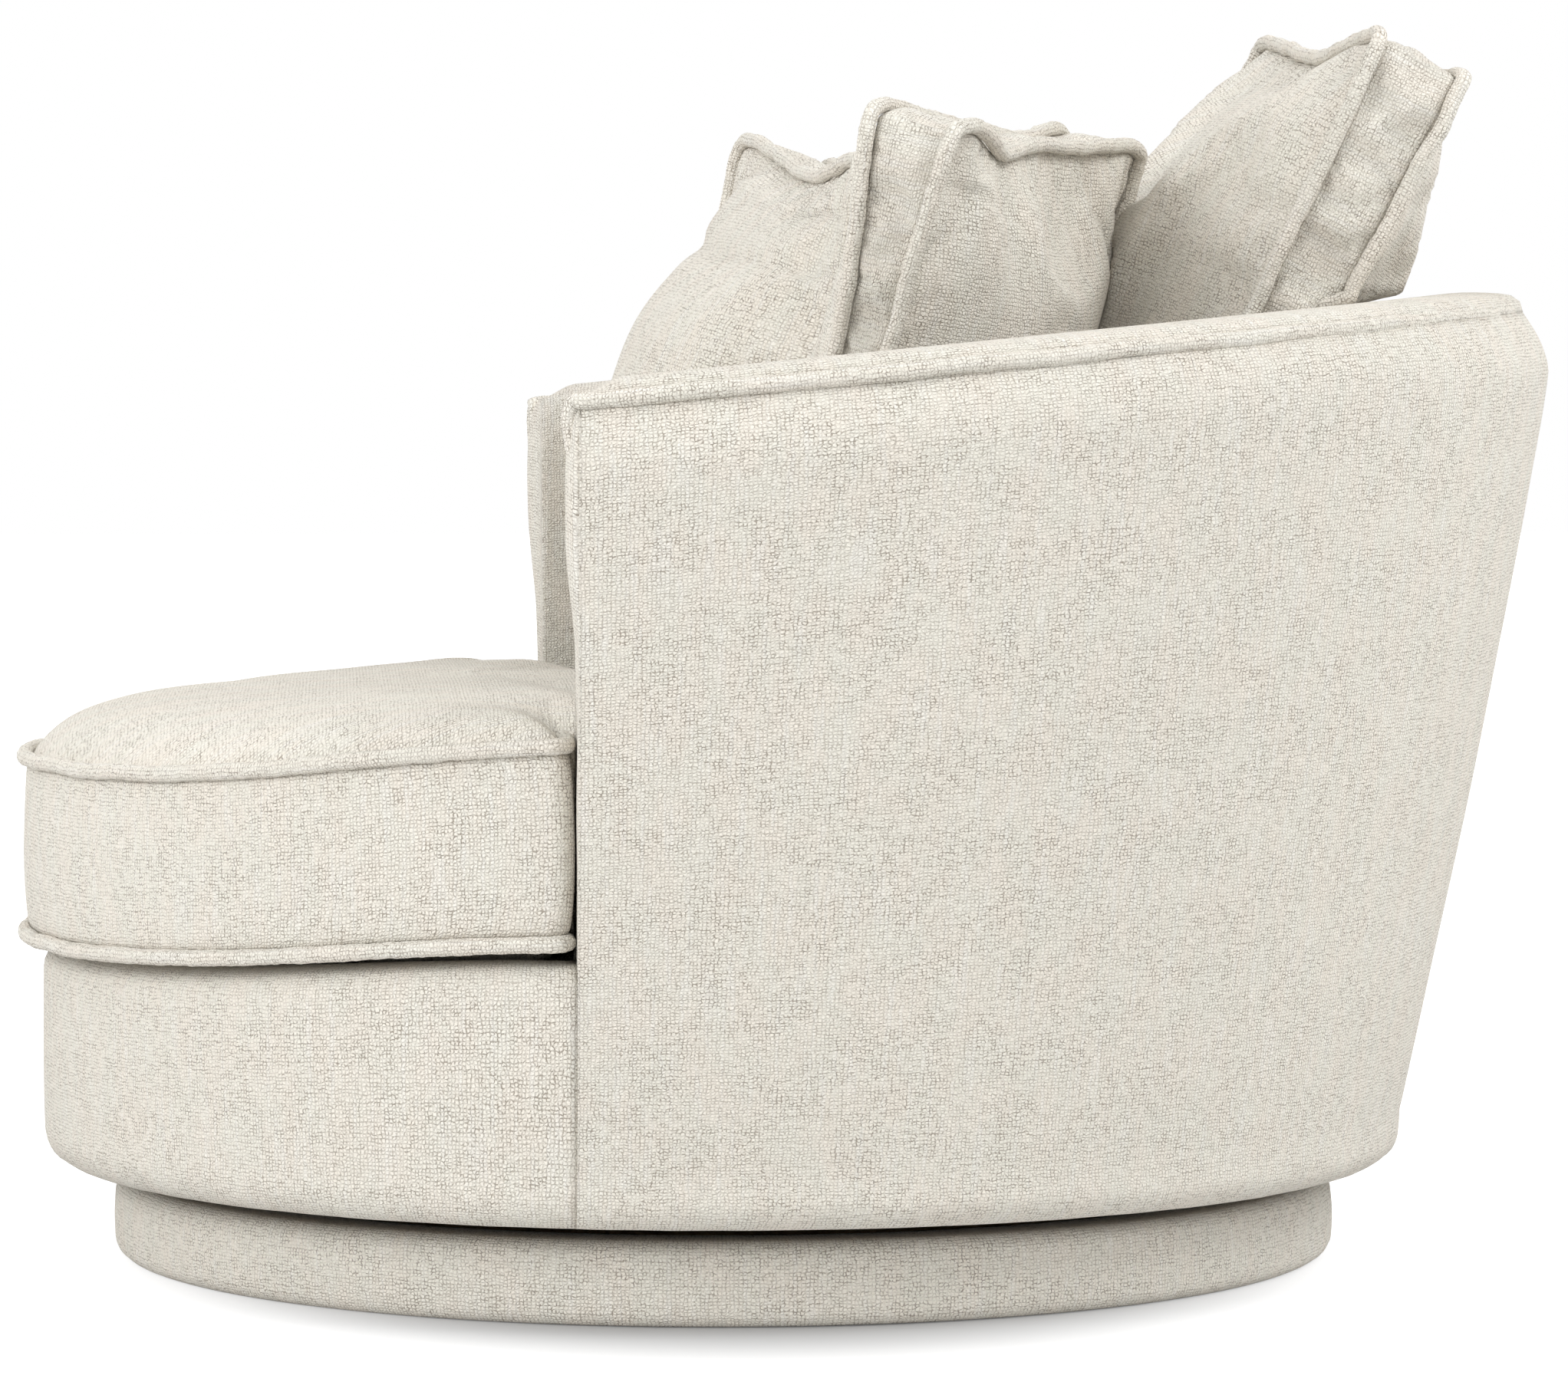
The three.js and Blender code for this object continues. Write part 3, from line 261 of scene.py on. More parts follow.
# Finishes inside: grains per metre, detail, two colours, relief and its depth, roughness
GRAINS = {
    "birch_plywood": ((6, 60, 60), 4, (0.66, 0.48, 0.29, 1), (0.45, 0.29, 0.15, 1), 0.2, 0.0005, 0.65),
    "fibreboard": ((160, 160, 160), 4, (0.34, 0.24, 0.15, 1), (0.22, 0.15, 0.09, 1), 0.2, 0.0005, 0.65),
    "open_foam": ((700, 700, 700), 2, (0.86, 0.76, 0.5, 1), (0.93, 0.86, 0.62, 1), 0.5, 0.001, 0.9),
    "black_lining": ((420, 420, 420), 4, (0.008, 0.008, 0.009, 1), (0.03, 0.03, 0.032, 1), 0.4, 0.0004, 0.9),
}
STEEL_DARK = (0.5, 0.51, 0.53, 1)
STEEL_LIGHT = (0.68, 0.69, 0.7, 1)
STEEL_SPANGLES = (90, 90, 90)


def clamp(value, low=0.0, high=1.0):
    return max(low, min(high, value))


def smooth(value):
    value = clamp(value)
    return value * value * (3 - 2 * value)


def bump(value, centre, width):
    return math.exp(-(((value - centre) / width) ** 2))


def lump(point, size, seed):
    """Soft noise from about -1 to 1, with lumps of one size."""
    return noise.noise(Vector(point) / size + Vector((seed * 7.3, seed * 3.1, seed * 5.7)))


def ripple(point, wave):
    """How far a wave of the cloth moves a point; wave is its height, length and seed."""
    height, length, seed = wave
    return height * lump(point, length, seed)


def shares(count):
    return [i / count for i in range(count + 1)]


def arc(cx, cy, radius, start, end, steps):
    points = []
    for share in shares(steps):
        angle = start + (end - start) * share
        points.append((cx + radius * math.cos(angle), cy + radius * math.sin(angle)))
    return points


# Camera and stage
def add_object(name, data):
    added = bpy.data.objects.new(name, data)
    bpy.context.scene.collection.objects.link(added)
    return added


def aim(piece, place, target):
    piece.location = place
    piece.rotation_euler = (Vector(target) - Vector(place)).to_track_quat("-Z", "Y").to_euler()


def build_camera():
    data = bpy.data.cameras.new("camera")
    data.sensor_width = CAMERA_SENSOR
    data.lens = CAMERA_LENS
    data.clip_end = CAMERA_REACH
    bpy.context.scene.camera = add_object("camera", data)
    aim(bpy.context.scene.camera, CAMERA_PLACE, CAMERA_TARGET)


class Nodes:
    """The node tree of a material or a world, with short ways to add and join nodes."""

    def __init__(self, owner):
        owner.use_nodes = True
        self.owner = owner
        self.tree = owner.node_tree
        self.tree.nodes.clear()

    def put(self, socket, value):
        if isinstance(value, bpy.types.NodeSocket):
            self.tree.links.new(value, socket)
        else:
            socket.default_value = value

    def node(self, kind, inputs=None, **settings):
        node = self.tree.nodes.new(kind)
        for key, value in settings.items():
            setattr(node, key, value)
        for key, value in (inputs or {}).items():
            self.put(node.inputs[key], value)
        return node

    def math(self, operation, first, second, third=0.0, clamped=False):
        inputs = {0: first, 1: second, 2: third}
        return self.node("ShaderNodeMath", inputs, operation=operation, use_clamp=clamped).outputs[0]

    def vector(self, operation, first, second):
        return self.node("ShaderNodeVectorMath", {0: first, 1: second}, operation=operation).outputs[0]

    def scaled(self, vector, x, y, z=1.0):
        return self.vector("MULTIPLY", vector, (x, y, z))

    def ramp(self, value, low, high, to_low=0.0, to_high=1.0):
        inputs = {"Value": value, "From Min": low, "From Max": high, "To Min": to_low, "To Max": to_high}
        return self.node("ShaderNodeMapRange", inputs, interpolation_type="SMOOTHSTEP").outputs[0]

    def noise(self, vector, detail=2.0, roughness=0.5):
        inputs = {"Vector": vector, "Scale": 1.0, "Detail": detail, "Roughness": roughness}
        return self.node("ShaderNodeTexNoise", inputs)

    def grain(self, vector, grain, detail=2.0, roughness=0.5):
        """Noise whose grains have one length across and one down."""
        across, down = grain
        return self.noise(self.scaled(vector, 1 / across, 1 / down), detail, roughness).outputs["Fac"]

    def strayed(self, vector, flat, length, reach, detail):
        """A vector that strays to all sides by noise of one length on the flat cloth."""
        colour = self.noise(self.scaled(flat, 1 / length, 1 / length), detail).outputs["Color"]
        aside = self.vector("ADD", colour, (-0.5, -0.5, 0))
        return self.vector("ADD", self.scaled(aside, reach, reach, 0), vector)

    def mix(self, share, first, second):
        node = self.node("ShaderNodeMix", data_type="RGBA")
        for socket, value in ((0, share), (6, first), (7, second)):
            self.put(node.inputs[socket], value)
        return node.outputs[2]

    def relief(self, strength, depth, height):
        inputs = {"Strength": strength, "Distance": depth, "Height": height}
        return self.node("ShaderNodeBump", inputs).outputs[0]

    def principled(self, colour, inputs):
        return self.node("ShaderNodeBsdfPrincipled", {"Base Color": colour, **inputs}).outputs[0]

    def surface(self, shader):
        self.node("ShaderNodeOutputMaterial", {"Surface": shader})
        return self.owner


def build_world():
    """A white world, a little dimmer as light than as it is seen."""
    n = Nodes(bpy.data.worlds.new("studio"))
    bpy.context.scene.world = n.owner
    rays = n.node("ShaderNodeLightPath").outputs
    seen = n.math("MAXIMUM", rays["Is Camera Ray"], rays["Is Glossy Ray"])
    strength = n.ramp(seen, 0.0, 1.0, WORLD_LIGHT, 1.0)
    back = n.node("ShaderNodeBackground", {"Color": WHITE, "Strength": strength}).outputs[0]
    n.node("ShaderNodeOutputWorld", {"Surface": back})


def build_floor():
    """A floor that is seen white; its dimmed diffuse part takes the chair's real shadow, and a painted
    shadow darkens it near the chair.
    """
    n = Nodes(bpy.data.materials.new("floor_white"))
    matt = n.node("ShaderNodeBsdfDiffuse", {"Color": FLOOR_GREY}).outputs[0]
    place = n.node("ShaderNodeNewGeometry").outputs["Position"]
    oval = n.scaled(place, 1.0, PAINTED_SHADOW_OVAL, 0)
    away = n.node("ShaderNodeVectorMath", {0: oval}, operation="LENGTH").outputs["Value"]
    # Painted shadow: the emission is weak at the plinth and full beyond an oval round it, so the floor
    # darkens near the chair whatever the lamps do
    strength = n.ramp(away, SHADOW_INNER, SHADOW_OUTER, FLOOR_GLOW_IN_PAINTED_SHADOW, 1.0)
    glow = n.node("ShaderNodeEmission", {"Color": WHITE, "Strength": strength}).outputs[0]
    dimmed = n.node("ShaderNodeBsdfDiffuse", {"Color": FLOOR_SEEN_GREY}).outputs[0]
    both = n.node("ShaderNodeAddShader", {0: dimmed, 1: glow}).outputs[0]
    seen = n.node("ShaderNodeLightPath").outputs["Is Camera Ray"]
    shader = n.node("ShaderNodeMixShader", {0: seen, 1: matt, 2: both}).outputs[0]
    mesh = bpy.data.meshes.new("floor")
    corners = [(x * FLOOR_HALF, y * FLOOR_HALF, 0) for x, y in ((-1, -1), (1, -1), (1, 1), (-1, 1))]
    mesh.from_pydata(corners, [], [(0, 1, 2, 3)])
    mesh.materials.append(n.surface(shader))
    add_object("floor", mesh)


def build_lamp(name, place, power):
    data = bpy.data.lights.new(name, "AREA")
    data.shape = "DISK"
    data.size = LAMP_SIZE
    data.energy = power
    aim(add_object(name, data), place, LAMP_TARGET)


# Materials
def chenille_material(name, seed):
    """Woven chenille, laid by the cloth attribute: tufts in rows, with broken dark lines between them and
    painted shade at each tuft's edge.
    """
    n = Nodes(bpy.data.materials.new(name))
    cloth = n.node("ShaderNodeAttribute", attribute_name="cloth", attribute_type="GEOMETRY")
    flat = n.scaled(n.vector("ADD", cloth.outputs["Vector"], (seed, seed * 0.7, 0)), 1000, 1000, 0)
    waved = n.strayed(flat, flat, ROW_WANDER_LENGTH, ROW_WANDER, detail=1.0)
    ragged = n.strayed(waved, flat, FRAY_LENGTH, FRAY, detail=2.0)
    cells = {"Vector": n.scaled(ragged, 1 / TUFT[0], 1 / TUFT[1]), "Scale": 1.0, "Randomness": 0.42}
    edge = n.node("ShaderNodeTexVoronoi", cells, feature="DISTANCE_TO_EDGE", voronoi_dimensions="2D")
    cell = n.node("ShaderNodeTexVoronoi", cells, feature="F1", voronoi_dimensions="2D")
    gap = edge.outputs["Distance"]

    across = n.ramp(n.grain(waved, DASH_ACROSS, detail=1.5), 0.44, 0.59)
    down = n.ramp(n.grain(waved, DASH_DOWN, detail=1.5), 0.48, 0.62)
    patches = n.ramp(n.grain(flat, PATCH), 0.36, 0.6, 0.55, 1.0)
    dashes = n.math("MULTIPLY", n.math("MAXIMUM", across, down), patches)
    breaks = n.ramp(n.grain(flat, DASH_BREAK, detail=1.0), 0.4, 0.54, 0.3, 1.0)
    near_edge = n.math("MULTIPLY", n.ramp(gap, 0.04, 0.23, 1.0, 0.0), breaks)
    dark = n.math("MULTIPLY", near_edge, dashes, clamped=True)
    # Painted shade: each tuft darkens a little towards its edge, as if shaded in the gaps between tufts
    painted_tuft_edge_shade = n.math("MULTIPLY", n.ramp(gap, 0.0, 0.2, 1.0, 0.0), 0.13)

    base = n.mix(n.ramp(n.grain(flat, TONE), 0.35, 0.65), YARN_WARM, YARN_COOL)
    lit = n.mix(n.ramp(n.grain(waved, SLUB, detail=1.0), 0.48, 0.72, 0.0, 0.45), base, YARN_BRIGHT)
    tuft = n.mix(n.math("MULTIPLY", cell.outputs["Color"], 0.1), lit, YARN_DULL)
    shaded = n.mix(painted_tuft_edge_shade, tuft, TUFT_EDGE_PAINTED_SHADE)
    colour = n.mix(n.math("MULTIPLY", dark, 0.7), shaded, YARN_DARK)

    dome = n.math("MULTIPLY", n.ramp(gap, 0.0, 0.26), 0.7)
    height = n.math("MULTIPLY_ADD", n.grain(flat, PILE, detail=3.0, roughness=0.6), 1.4, dome)
    soft = {"Roughness": 0.95, "Specular IOR Level": 0.15, "Sheen Weight": 0.22, "Sheen Roughness": 0.45}
    relief = n.relief(0.75, 0.0018, height)
    return n.surface(n.principled(colour, {"Normal": relief, "Sheen Tint": SHEEN_TINT, **soft}))


def grained_material(name, streaked=False):
    """Two colours and a fine relief by one grain; streaked sets the colours further apart."""
    fine, detail, first, second, strength, depth, roughness = GRAINS[name]
    n = Nodes(bpy.data.materials.new(name))
    place = n.node("ShaderNodeTexCoord").outputs["Object"]
    grain = n.noise(n.scaled(place, *fine), detail, 0.6 if streaked else 0.5).outputs["Fac"]
    colour = n.mix(n.ramp(grain, 0.35, 0.7) if streaked else grain, first, second)
    relief = n.relief(strength, depth, grain)
    return n.surface(n.principled(colour, {"Normal": relief, "Roughness": roughness}))


def steel_material():
    n = Nodes(bpy.data.materials.new("zinc_steel"))
    place = n.node("ShaderNodeTexCoord").outputs["Object"]
    spangle = n.noise(n.scaled(place, *STEEL_SPANGLES), detail=3.0).outputs["Fac"]
    colour = n.mix(spangle, STEEL_DARK, STEEL_LIGHT)
    roughness = n.ramp(spangle, 0.3, 0.7, 0.3, 0.48)
    return n.surface(n.principled(colour, {"Metallic": 0.9, "Roughness": roughness}))


def dress_frame():
    """Finishes of the chair's inner parts."""
    finishes = {
        "plywood": grained_material("birch_plywood", streaked=True),
        "fibreboard": grained_material("fibreboard", streaked=True),
        "steel": steel_material(),
        "foam": grained_material("open_foam"),
        "chenille": chenille_material("chenille_inner", 9),
        "black_cloth": grained_material("black_lining"),
    }
    slots = {part["node"]: part["material_slot"] for part in frame["record"]["subparts"]}
    for name, node in frame["nodes"].items():
        for material_slot in node.material_slots:
            material_slot.material = finishes[slots[name]]


# Mesh pieces
def make_piece(name, points, faces, cloth, material, body, thickness=0.0):
    """A smooth piece. cloth gives a place in the cloth for each corner of each face."""
    mesh = bpy.data.meshes.new(name)
    mesh.from_pydata([tuple(point) for point in points], [], faces)
    mesh.update()
    layer = mesh.attributes.new("cloth", "FLOAT_VECTOR", "CORNER")
    values = [value for corners in cloth for (u, v) in corners for value in (u, v, 0.0)]
    layer.data.foreach_set("vector", values)
    mesh.polygons.foreach_set("use_smooth", [True] * len(mesh.polygons))
    mesh.materials.append(material)
    piece = add_object(name, mesh)
    if thickness:
        shell = piece.modifiers.new("shell", "SOLIDIFY")
        shell.thickness = thickness
        shell.offset = -1
        apply_modifiers(piece)
    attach(piece, body)
    return piece


def apply_modifiers(piece):
    depsgraph = bpy.context.evaluated_depsgraph_get()
    mesh = bpy.data.meshes.new_from_object(piece.evaluated_get(depsgraph))
    piece.modifiers.clear()
    piece.data = mesh


def grid_faces(rows, columns, closed=False):
    """Faces of a grid of points, row after row; closed joins the last column to the first."""
    faces = []
    spans = columns if closed else columns - 1
    for j in range(rows - 1):
        for i in range(spans):
            k = (i + 1) % columns
            faces.append((j * columns + i, j * columns + k, (j + 1) * columns + k, (j + 1) * columns + i))
    return faces


def grid_cloth(across, down):
    """Places in the cloth for grid_faces."""
    places = []
    for v0, v1 in zip(down, down[1:]):
        for u0, u1 in zip(across, across[1:]):
            places.append(((u0, v0), (u1, v0), (u1, v1), (u0, v1)))
    return places


def column_grid(across, down, closed=False):
    """Faces of a grid of points, column after column, and their places in the cloth.

    Where closed, the last column joins the first, and across has one more value than there are columns."""
    rows = len(down)
    columns = len(across) - 1 if closed else len(across)
    faces, cloth = [], []
    for i in range(len(across) - 1):
        a, b = i * rows, (i + 1) % columns * rows
        u0, u1 = across[i], across[i + 1]
        for j in range(rows - 1):
            v0, v1 = down[j], down[j + 1]
            faces.append((a + j, b + j, b + j + 1, a + j + 1))
            cloth.append(((u0, v0), (u1, v0), (u1, v1), (u0, v1)))
    return faces, cloth


def plan_places(points, faces):
    """Places in a cloth that lies flat, for the corners of each face."""
    return [tuple((points[index].x, points[index].y) for index in face) for face in faces]


def turned_over(faces):
    return [tuple(reversed(face)) for face in faces]


def ring_points(inner, outer, rings, around, level, wave, sink=0.0):
    """Points of a flat round cloth in slight waves, ring after ring."""
    points = []
    for share in shares(rings):
        radius = inner + (outer - inner) * share
        for turn in shares(around)[:-1]:
            angle = 2 * math.pi * turn
            spot = Vector((radius * math.cos(angle), radius * math.sin(angle), level))
            points.append(spot + Vector((0, 0, ripple(spot, wave) - sink)))
    return points


def lengths(points):
    total = [0.0]
    for a, b in zip(points, points[1:]):
        total.append(total[-1] + (b - a).length)
    return total


def resampled(path, step, closed):
    """Points along a path at equal steps, on a smooth curve through it."""
    loop = path + path[:1] if closed else path
    total = lengths(loop)
    count = max(int(total[-1] / step), 4)
    found, k = [], 0
    for i in range(count if closed else count + 1):
        want = total[-1] * i / count
        while k < len(loop) - 2 and total[k + 1] < want:
            k += 1
        span = total[k + 1] - total[k]
        t = (want - total[k]) / span if span else 0.0
        if closed:
            before, after = path[k - 1], path[(k + 2) % len(path)]
        else:
            before, after = loop[max(k - 1, 0)], loop[min(k + 2, len(loop) - 1)]
        a, b = loop[k], loop[k + 1]
        found.append(0.5 * ((2 * a) + (b - before) * t + (2 * before - 5 * a + 4 * b - after) * t * t
                            + (3 * a - before - 3 * b + after) * t ** 3))
    return found


def make_welt(name, path, radius, closed, material, body, seed, wander=WELT_WANDER):
    """Piping: a cord in cloth, a little uneven along its length."""
    path = resampled(path, WELT_STEP, closed)
    count, sides = len(path), WELT_SIDES
    points, up = [], None
    for i, centre in enumerate(path):
        before = path[i - 1] if closed or i else path[0]
        after = path[(i + 1) % count] if closed or i < count - 1 else path[-1]
        along = (after - before).normalized()
        if up is None:
            up = along.orthogonal().normalized()
        up = (up - along * up.dot(along)).normalized()
        side = along.cross(up)
        middle = centre + side * (wander * lump(centre, 0.035, seed))
        middle += up * (wander * lump(centre, 0.03, seed + 1))
        for j in range(sides):
            angle = 2 * math.pi * j / sides
            spoke = side * math.cos(angle) + up * math.sin(angle)
            tufts = ripple(middle + spoke * radius, (*WELT_TUFTS, seed))
            reach = radius * (1 + tufts + ripple(centre, (*WELT_LUMPS, seed + 2)))
            points.append(middle + spoke * reach)
    faces, cloth = [], []
    around = [2 * math.pi * radius * share for share in shares(sides)]
    total = lengths(path + path[:1])
    for i in range(count if closed else count - 1):
        twist = 0
        k = (i + 1) % count
        if closed and i == count - 1:
            twist = min(range(sides), key=lambda t: (points[k * sides + t] - points[i * sides]).length)
        a, b = i * sides, k * sides
        for j in range(sides):
            m = (j + 1) % sides
            faces.append((a + j, a + m, b + (m + twist) % sides, b + (j + twist) % sides))
            u0, u1 = around[j], around[j + 1]
            cloth.append(((u0, total[i]), (u1, total[i]), (u1, total[i + 1]), (u0, total[i + 1])))
    if not closed:
        for first, flip in ((0, True), ((count - 1) * sides, False)):
            ring = [first + j for j in range(sides)]
            faces.append(tuple(reversed(ring) if flip else ring))
            cloth.append(tuple((0.0, 0.0) for _ in ring))
    return make_piece(name, points, faces, cloth, material, body)


# Shape of the shell: angles count from straight back
def flare_at(angle):
    back = math.cos(angle)
    if back > 0:
        return SIDE_FLARE + (BACK_FLARE - SIDE_FLARE) * back * back
    return SIDE_FLARE * (1 - back * back)


def outer_radius(angle, height):
    climb = clamp((height - FLARE_START) / (FLARE_TOP - FLARE_START))
    near_top = smooth((height - BACK_TUCK_START) / (BACK_TOP - BACK_TUCK_START))
    tuck = BACK_TUCK * max(math.cos(angle), 0) ** 2 * near_top
    return DECK_RADIUS + flare_at(angle) * climb * (1 + FLARE_BOW_SHARE * (1 - climb)) - tuck


NOMINAL_END = math.acos(ARM_FRONT_Y / (DECK_RADIUS + SIDE_FLARE))


def wall_thickness(along):
    back = max(math.cos(along * NOMINAL_END), 0)
    return ARM_THICKNESS + (BACK_THICKNESS - ARM_THICKNESS) * back * back


def rim_height(along):
    angle = along * NOMINAL_END
    y = (DECK_RADIUS + flare_at(angle)) * math.cos(angle)
    return ARM_TOP + (BACK_TOP - ARM_TOP) * (y - ARM_FRONT_Y) / (DECK_RADIUS + BACK_FLARE - ARM_FRONT_Y)


def inner_inset(along, height):
    climb = (height - WALL_FOOT) / (rim_height(along) - INNER_SHOULDER - WALL_FOOT)
    return ARM_THICKNESS + (wall_thickness(along) - ARM_THICKNESS) * climb


def wall_point(along, out, height, end_y=ARM_FRONT_Y):
    """A point of the wall: along runs from -1 at the right arm's front to 1 at the left arm's front."""
    radius = outer_radius(along * NOMINAL_END, height) + out
    angle = along * math.acos(end_y / radius)
    return Vector((radius * math.sin(angle), radius * math.cos(angle), height + SHELL_BOTTOM))


def shell_edge():
    """The turned-under bottom edge, from the hem to the upright face."""
    hem = [(-SHELL_ROUND - SHELL_HEM, 0.0)]
    return hem + arc(-SHELL_ROUND, SHELL_ROUND, SHELL_ROUND, -math.pi / 2, 0, 7)


def outside_section(along):
    rim = rim_height(along)
    shoulder = rim - SHOULDER
    face = [(0.0, SHELL_ROUND + (shoulder - SHELL_ROUND) * share) for share in shares(44)[1:]]
    rise = SHOULDER - SEAM_DROP
    top = [(-SEAM_INSET * share * share, shoulder + rise * share) for share in shares(8)[1:]]
    return shell_edge() + face + top


def cap_curve(along, steps):
    """The top roll from the outer seam to the inner shoulder."""
    rim, width = rim_height(along), wall_thickness(along) - SEAM_INSET
    control = []
    for share, drop in CAP_SHARES:
        control.append(Vector((-SEAM_INSET - width * share, rim - INNER_SHOULDER * drop, 0)))
    length = lengths(control)[-1]
    found = resampled(control, length / (steps + 0.5), False)
    to_end = (1 - abs(along)) * NOMINAL_END * DECK_RADIUS
    sink = ROLL_END_SINK * smooth(1 - to_end / ROLL_END)
    seam = rim - SEAM_DROP
    return [(point.x, point.y - sink * max(point.y - seam, 0)) for point in found]


def inside_section(along):
    cap = cap_curve(along, 18)
    top = rim_height(along) - INNER_SHOULDER
    down = []
    for share in shares(26)[1:]:
        height = top + (WALL_FOOT - top) * share
        down.append((-inner_inset(along, height), height))
    return cap + down


def wall_skin(name, section_at, material, columns, ends, shape):
    """A skin along the wall between its two end places. shape gives how far a point moves out."""
    grid = []
    alongs = [2 * share - 1 for share in shares(columns)]
    for along in alongs:
        end_y = ends[0] + (ends[1] - ends[0]) * (along + 1) / 2
        for out, height in section_at(along):
            flat = wall_point(along, out, height, end_y)
            grid.append(wall_point(along, out + shape(along, height, flat), height, end_y))
    across = [along * NOMINAL_END * (DECK_RADIUS + SIDE_FLARE / 2) for along in alongs]
    down = lengths([wall_point(0.0, out, height) for out, height in section_at(0.0)])
    faces, cloth = column_grid(across, down)
    return make_piece(name, grid, faces, cloth, material, "seat", thickness=-CLOTH)


def outside_shape(along, height, point):
    """Soft waves of the stretched cover, and small puckers at its bottom and top edges."""
    foot = ripple(point, HEM_PUCKER) * bump(height, 0.0, HEM_PUCKER_REACH)
    top = ripple(point, RIM_PUCKER) * bump(height, rim_height(along) - SEAM_DROP, RIM_PUCKER_REACH)
    return max(ripple(point, COVER_WAVE) + foot + top, COVER_LEAST)


def inside_shape(along, height, point):
    pull = bump(height, rim_height(along), LINING_PULL_REACH) * abs(ripple(point, LINING_PULL))
    return ripple(point, LINING_WAVE) - pull


def build_barrel():
    outer_ends = [ARM_SEAM_Y[side] + COVER_END for side in (-1, 1)]
    inner_ends = [ARM_SEAM_Y[side] + LINING_END for side in (-1, 1)]
    chenille = chenille_material("chenille_wall", 1)
    inner = chenille_material("chenille_wall_inside", 2)
    outside = wall_skin("barrel_outside", outside_section, chenille, 300, outer_ends, outside_shape)
    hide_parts("outside_cover")
    inside = wall_skin("barrel_inside", inside_section, inner, 320, inner_ends, inside_shape)
    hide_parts("inside_cover", "wall_inner_foam", "wall_top_foam")
    for name, side in (("left", 1), ("right", -1)):
        build_arm_front(name, side, chenille_material(f"chenille_{name}_front", 3 + side))
    build_barrel_piping()


def build_barrel_piping():
    """Piping along the outer top edge, sunk into the seam at the back and turned down at both ends."""
    path = []
    for share in shares(120):
        along = 2 * share - 1
        sunk = BARREL_WELT_BACK_SINK * max(math.cos(along * NOMINAL_END), 0) ** 2
        height = rim_height(along) - SEAM_DROP + BARREL_WELT_RISE
        spot = wall_point(along, BARREL_WELT_OUT - SEAM_INSET - sunk, height, BARREL_WELT_END_Y)
        path.append(spot + Vector((0, 0, ripple(spot, BARREL_WELT_WAVE))))
    tails = {}
    for side in (-1, 1):
        top = rim_height(side) - SEAM_DROP + BARREL_WELT_RISE
        front = ARM_SEAM_Y[side] - TAIL_FRONT
        tails[side] = [wall_point(side, out - SEAM_INSET, top - drop, front - forward * TAIL_REACH[side])
                       for drop, forward, out in TAIL_STEPS]
    whole = list(reversed(tails[-1])) + path + tails[1]
    material = chenille_material("chenille_piping", 6)
    welt = make_welt("barrel_piping", whole, BARREL_WELT, False, material, "seat", seed=3)
    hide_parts("barrel_welt")


def build_arm_front(name, side, material):
    """The pad on an arm's front, from the deck to the top roll, rounding forwards from its seams."""
    foot = DECK_TOP + PAD_FOOT_GAP
    rim = rim_height(side)
    outer_top = (-SEAM_INSET, rim - SEAM_DROP)
    inner_top = (-wall_thickness(side), rim - INNER_SHOULDER)
    across, down = 44, 70
    curve = cap_curve(side, across)
    cap = [curve[min(round(i * (len(curve) - 1) / across), len(curve) - 1)] for i in range(across + 1)]

    def outer(v):
        height = foot + (outer_top[1] - foot) * v
        over = clamp((height - (rim - SHOULDER)) / (SHOULDER - SEAM_DROP))
        return -SEAM_INSET * over * over, height

    def inner(v):
        height = foot + (inner_top[1] - foot) * v
        return -inner_inset(side, height), height

    def patch(w, v, i):
        """A point between the pad's four edges."""
        top, low_left, low_right, left, right = cap[i], outer(0), inner(0), outer(v), inner(v)
        found = []
        for k in (0, 1):
            low = low_left[k] + (low_right[k] - low_left[k]) * w
            corner = (1 - w) * ((1 - v) * low_left[k] + v * outer_top[k])
            corner += w * ((1 - v) * low_right[k] + v * inner_top[k])
            found.append((1 - v) * low + v * top[k] + (1 - w) * left[k] + w * right[k] - corner)
        return found

    points = []
    for v in shares(down):
        for i, w in enumerate(shares(across)):
            out, height = patch(w, v, i)
            base = wall_point(side, out, height, ARM_SEAM_Y[side] + CLOTH)
            steps = [more * smooth((height - start) / length) for more, start, length in PAD_CROWN_STEPS]
            crown = PAD_CROWN + sum(steps)
            round_w = 1 - abs(2 * w - 1) ** 5
            round_v = 1 - max(0.0, (v + PAD_TOP_ROUND - 1) / PAD_TOP_ROUND) ** 3
            fade = 1 - PAD_FADE[0] * smooth((w - PAD_FADE[1]) / PAD_FADE[2])
            swell = crown * (round_w * round_v) ** 0.5 + ripple(base, PAD_WAVES[side]) * round_w * round_v
            points.append(base - Vector((0, swell * fade, 0)))
    faces = grid_faces(down + 1, across + 1)
    widths = [ARM_THICKNESS * w for w in shares(across)]
    cloth = grid_cloth(widths, [(rim - foot) * v for v in shares(down)])
    if side > 0:
        faces, cloth = turned_over(faces), turned_over(cloth)
    pad = make_piece(f"{name}_arm_front", points, faces, cloth, material, "seat", thickness=CLOTH)
    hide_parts(f"{name}_arm_front_panel")


def deck_section():
    """The deck's front in section: edge, upright face, lip and the way in to the deck's cloth."""
    lip = arc(-DECK_LIP, DECK_TOP - DECK_LIP, DECK_LIP, 0, math.pi / 2, 6)
    rise = DECK_TOP - DECK_LIP - SHELL_ROUND
    face = [(0.0, SHELL_ROUND + rise * share) for share in shares(14)[1:-1]]
    start, end = lip[-1][0], DECK_CLOTH_RADIUS + DECK_CLOTH_OVERLAP - DECK_RADIUS
    top = [(end * share + start * (1 - share), DECK_TOP) for share in shares(6)[1:]]
    return shell_edge() + face + lip + top


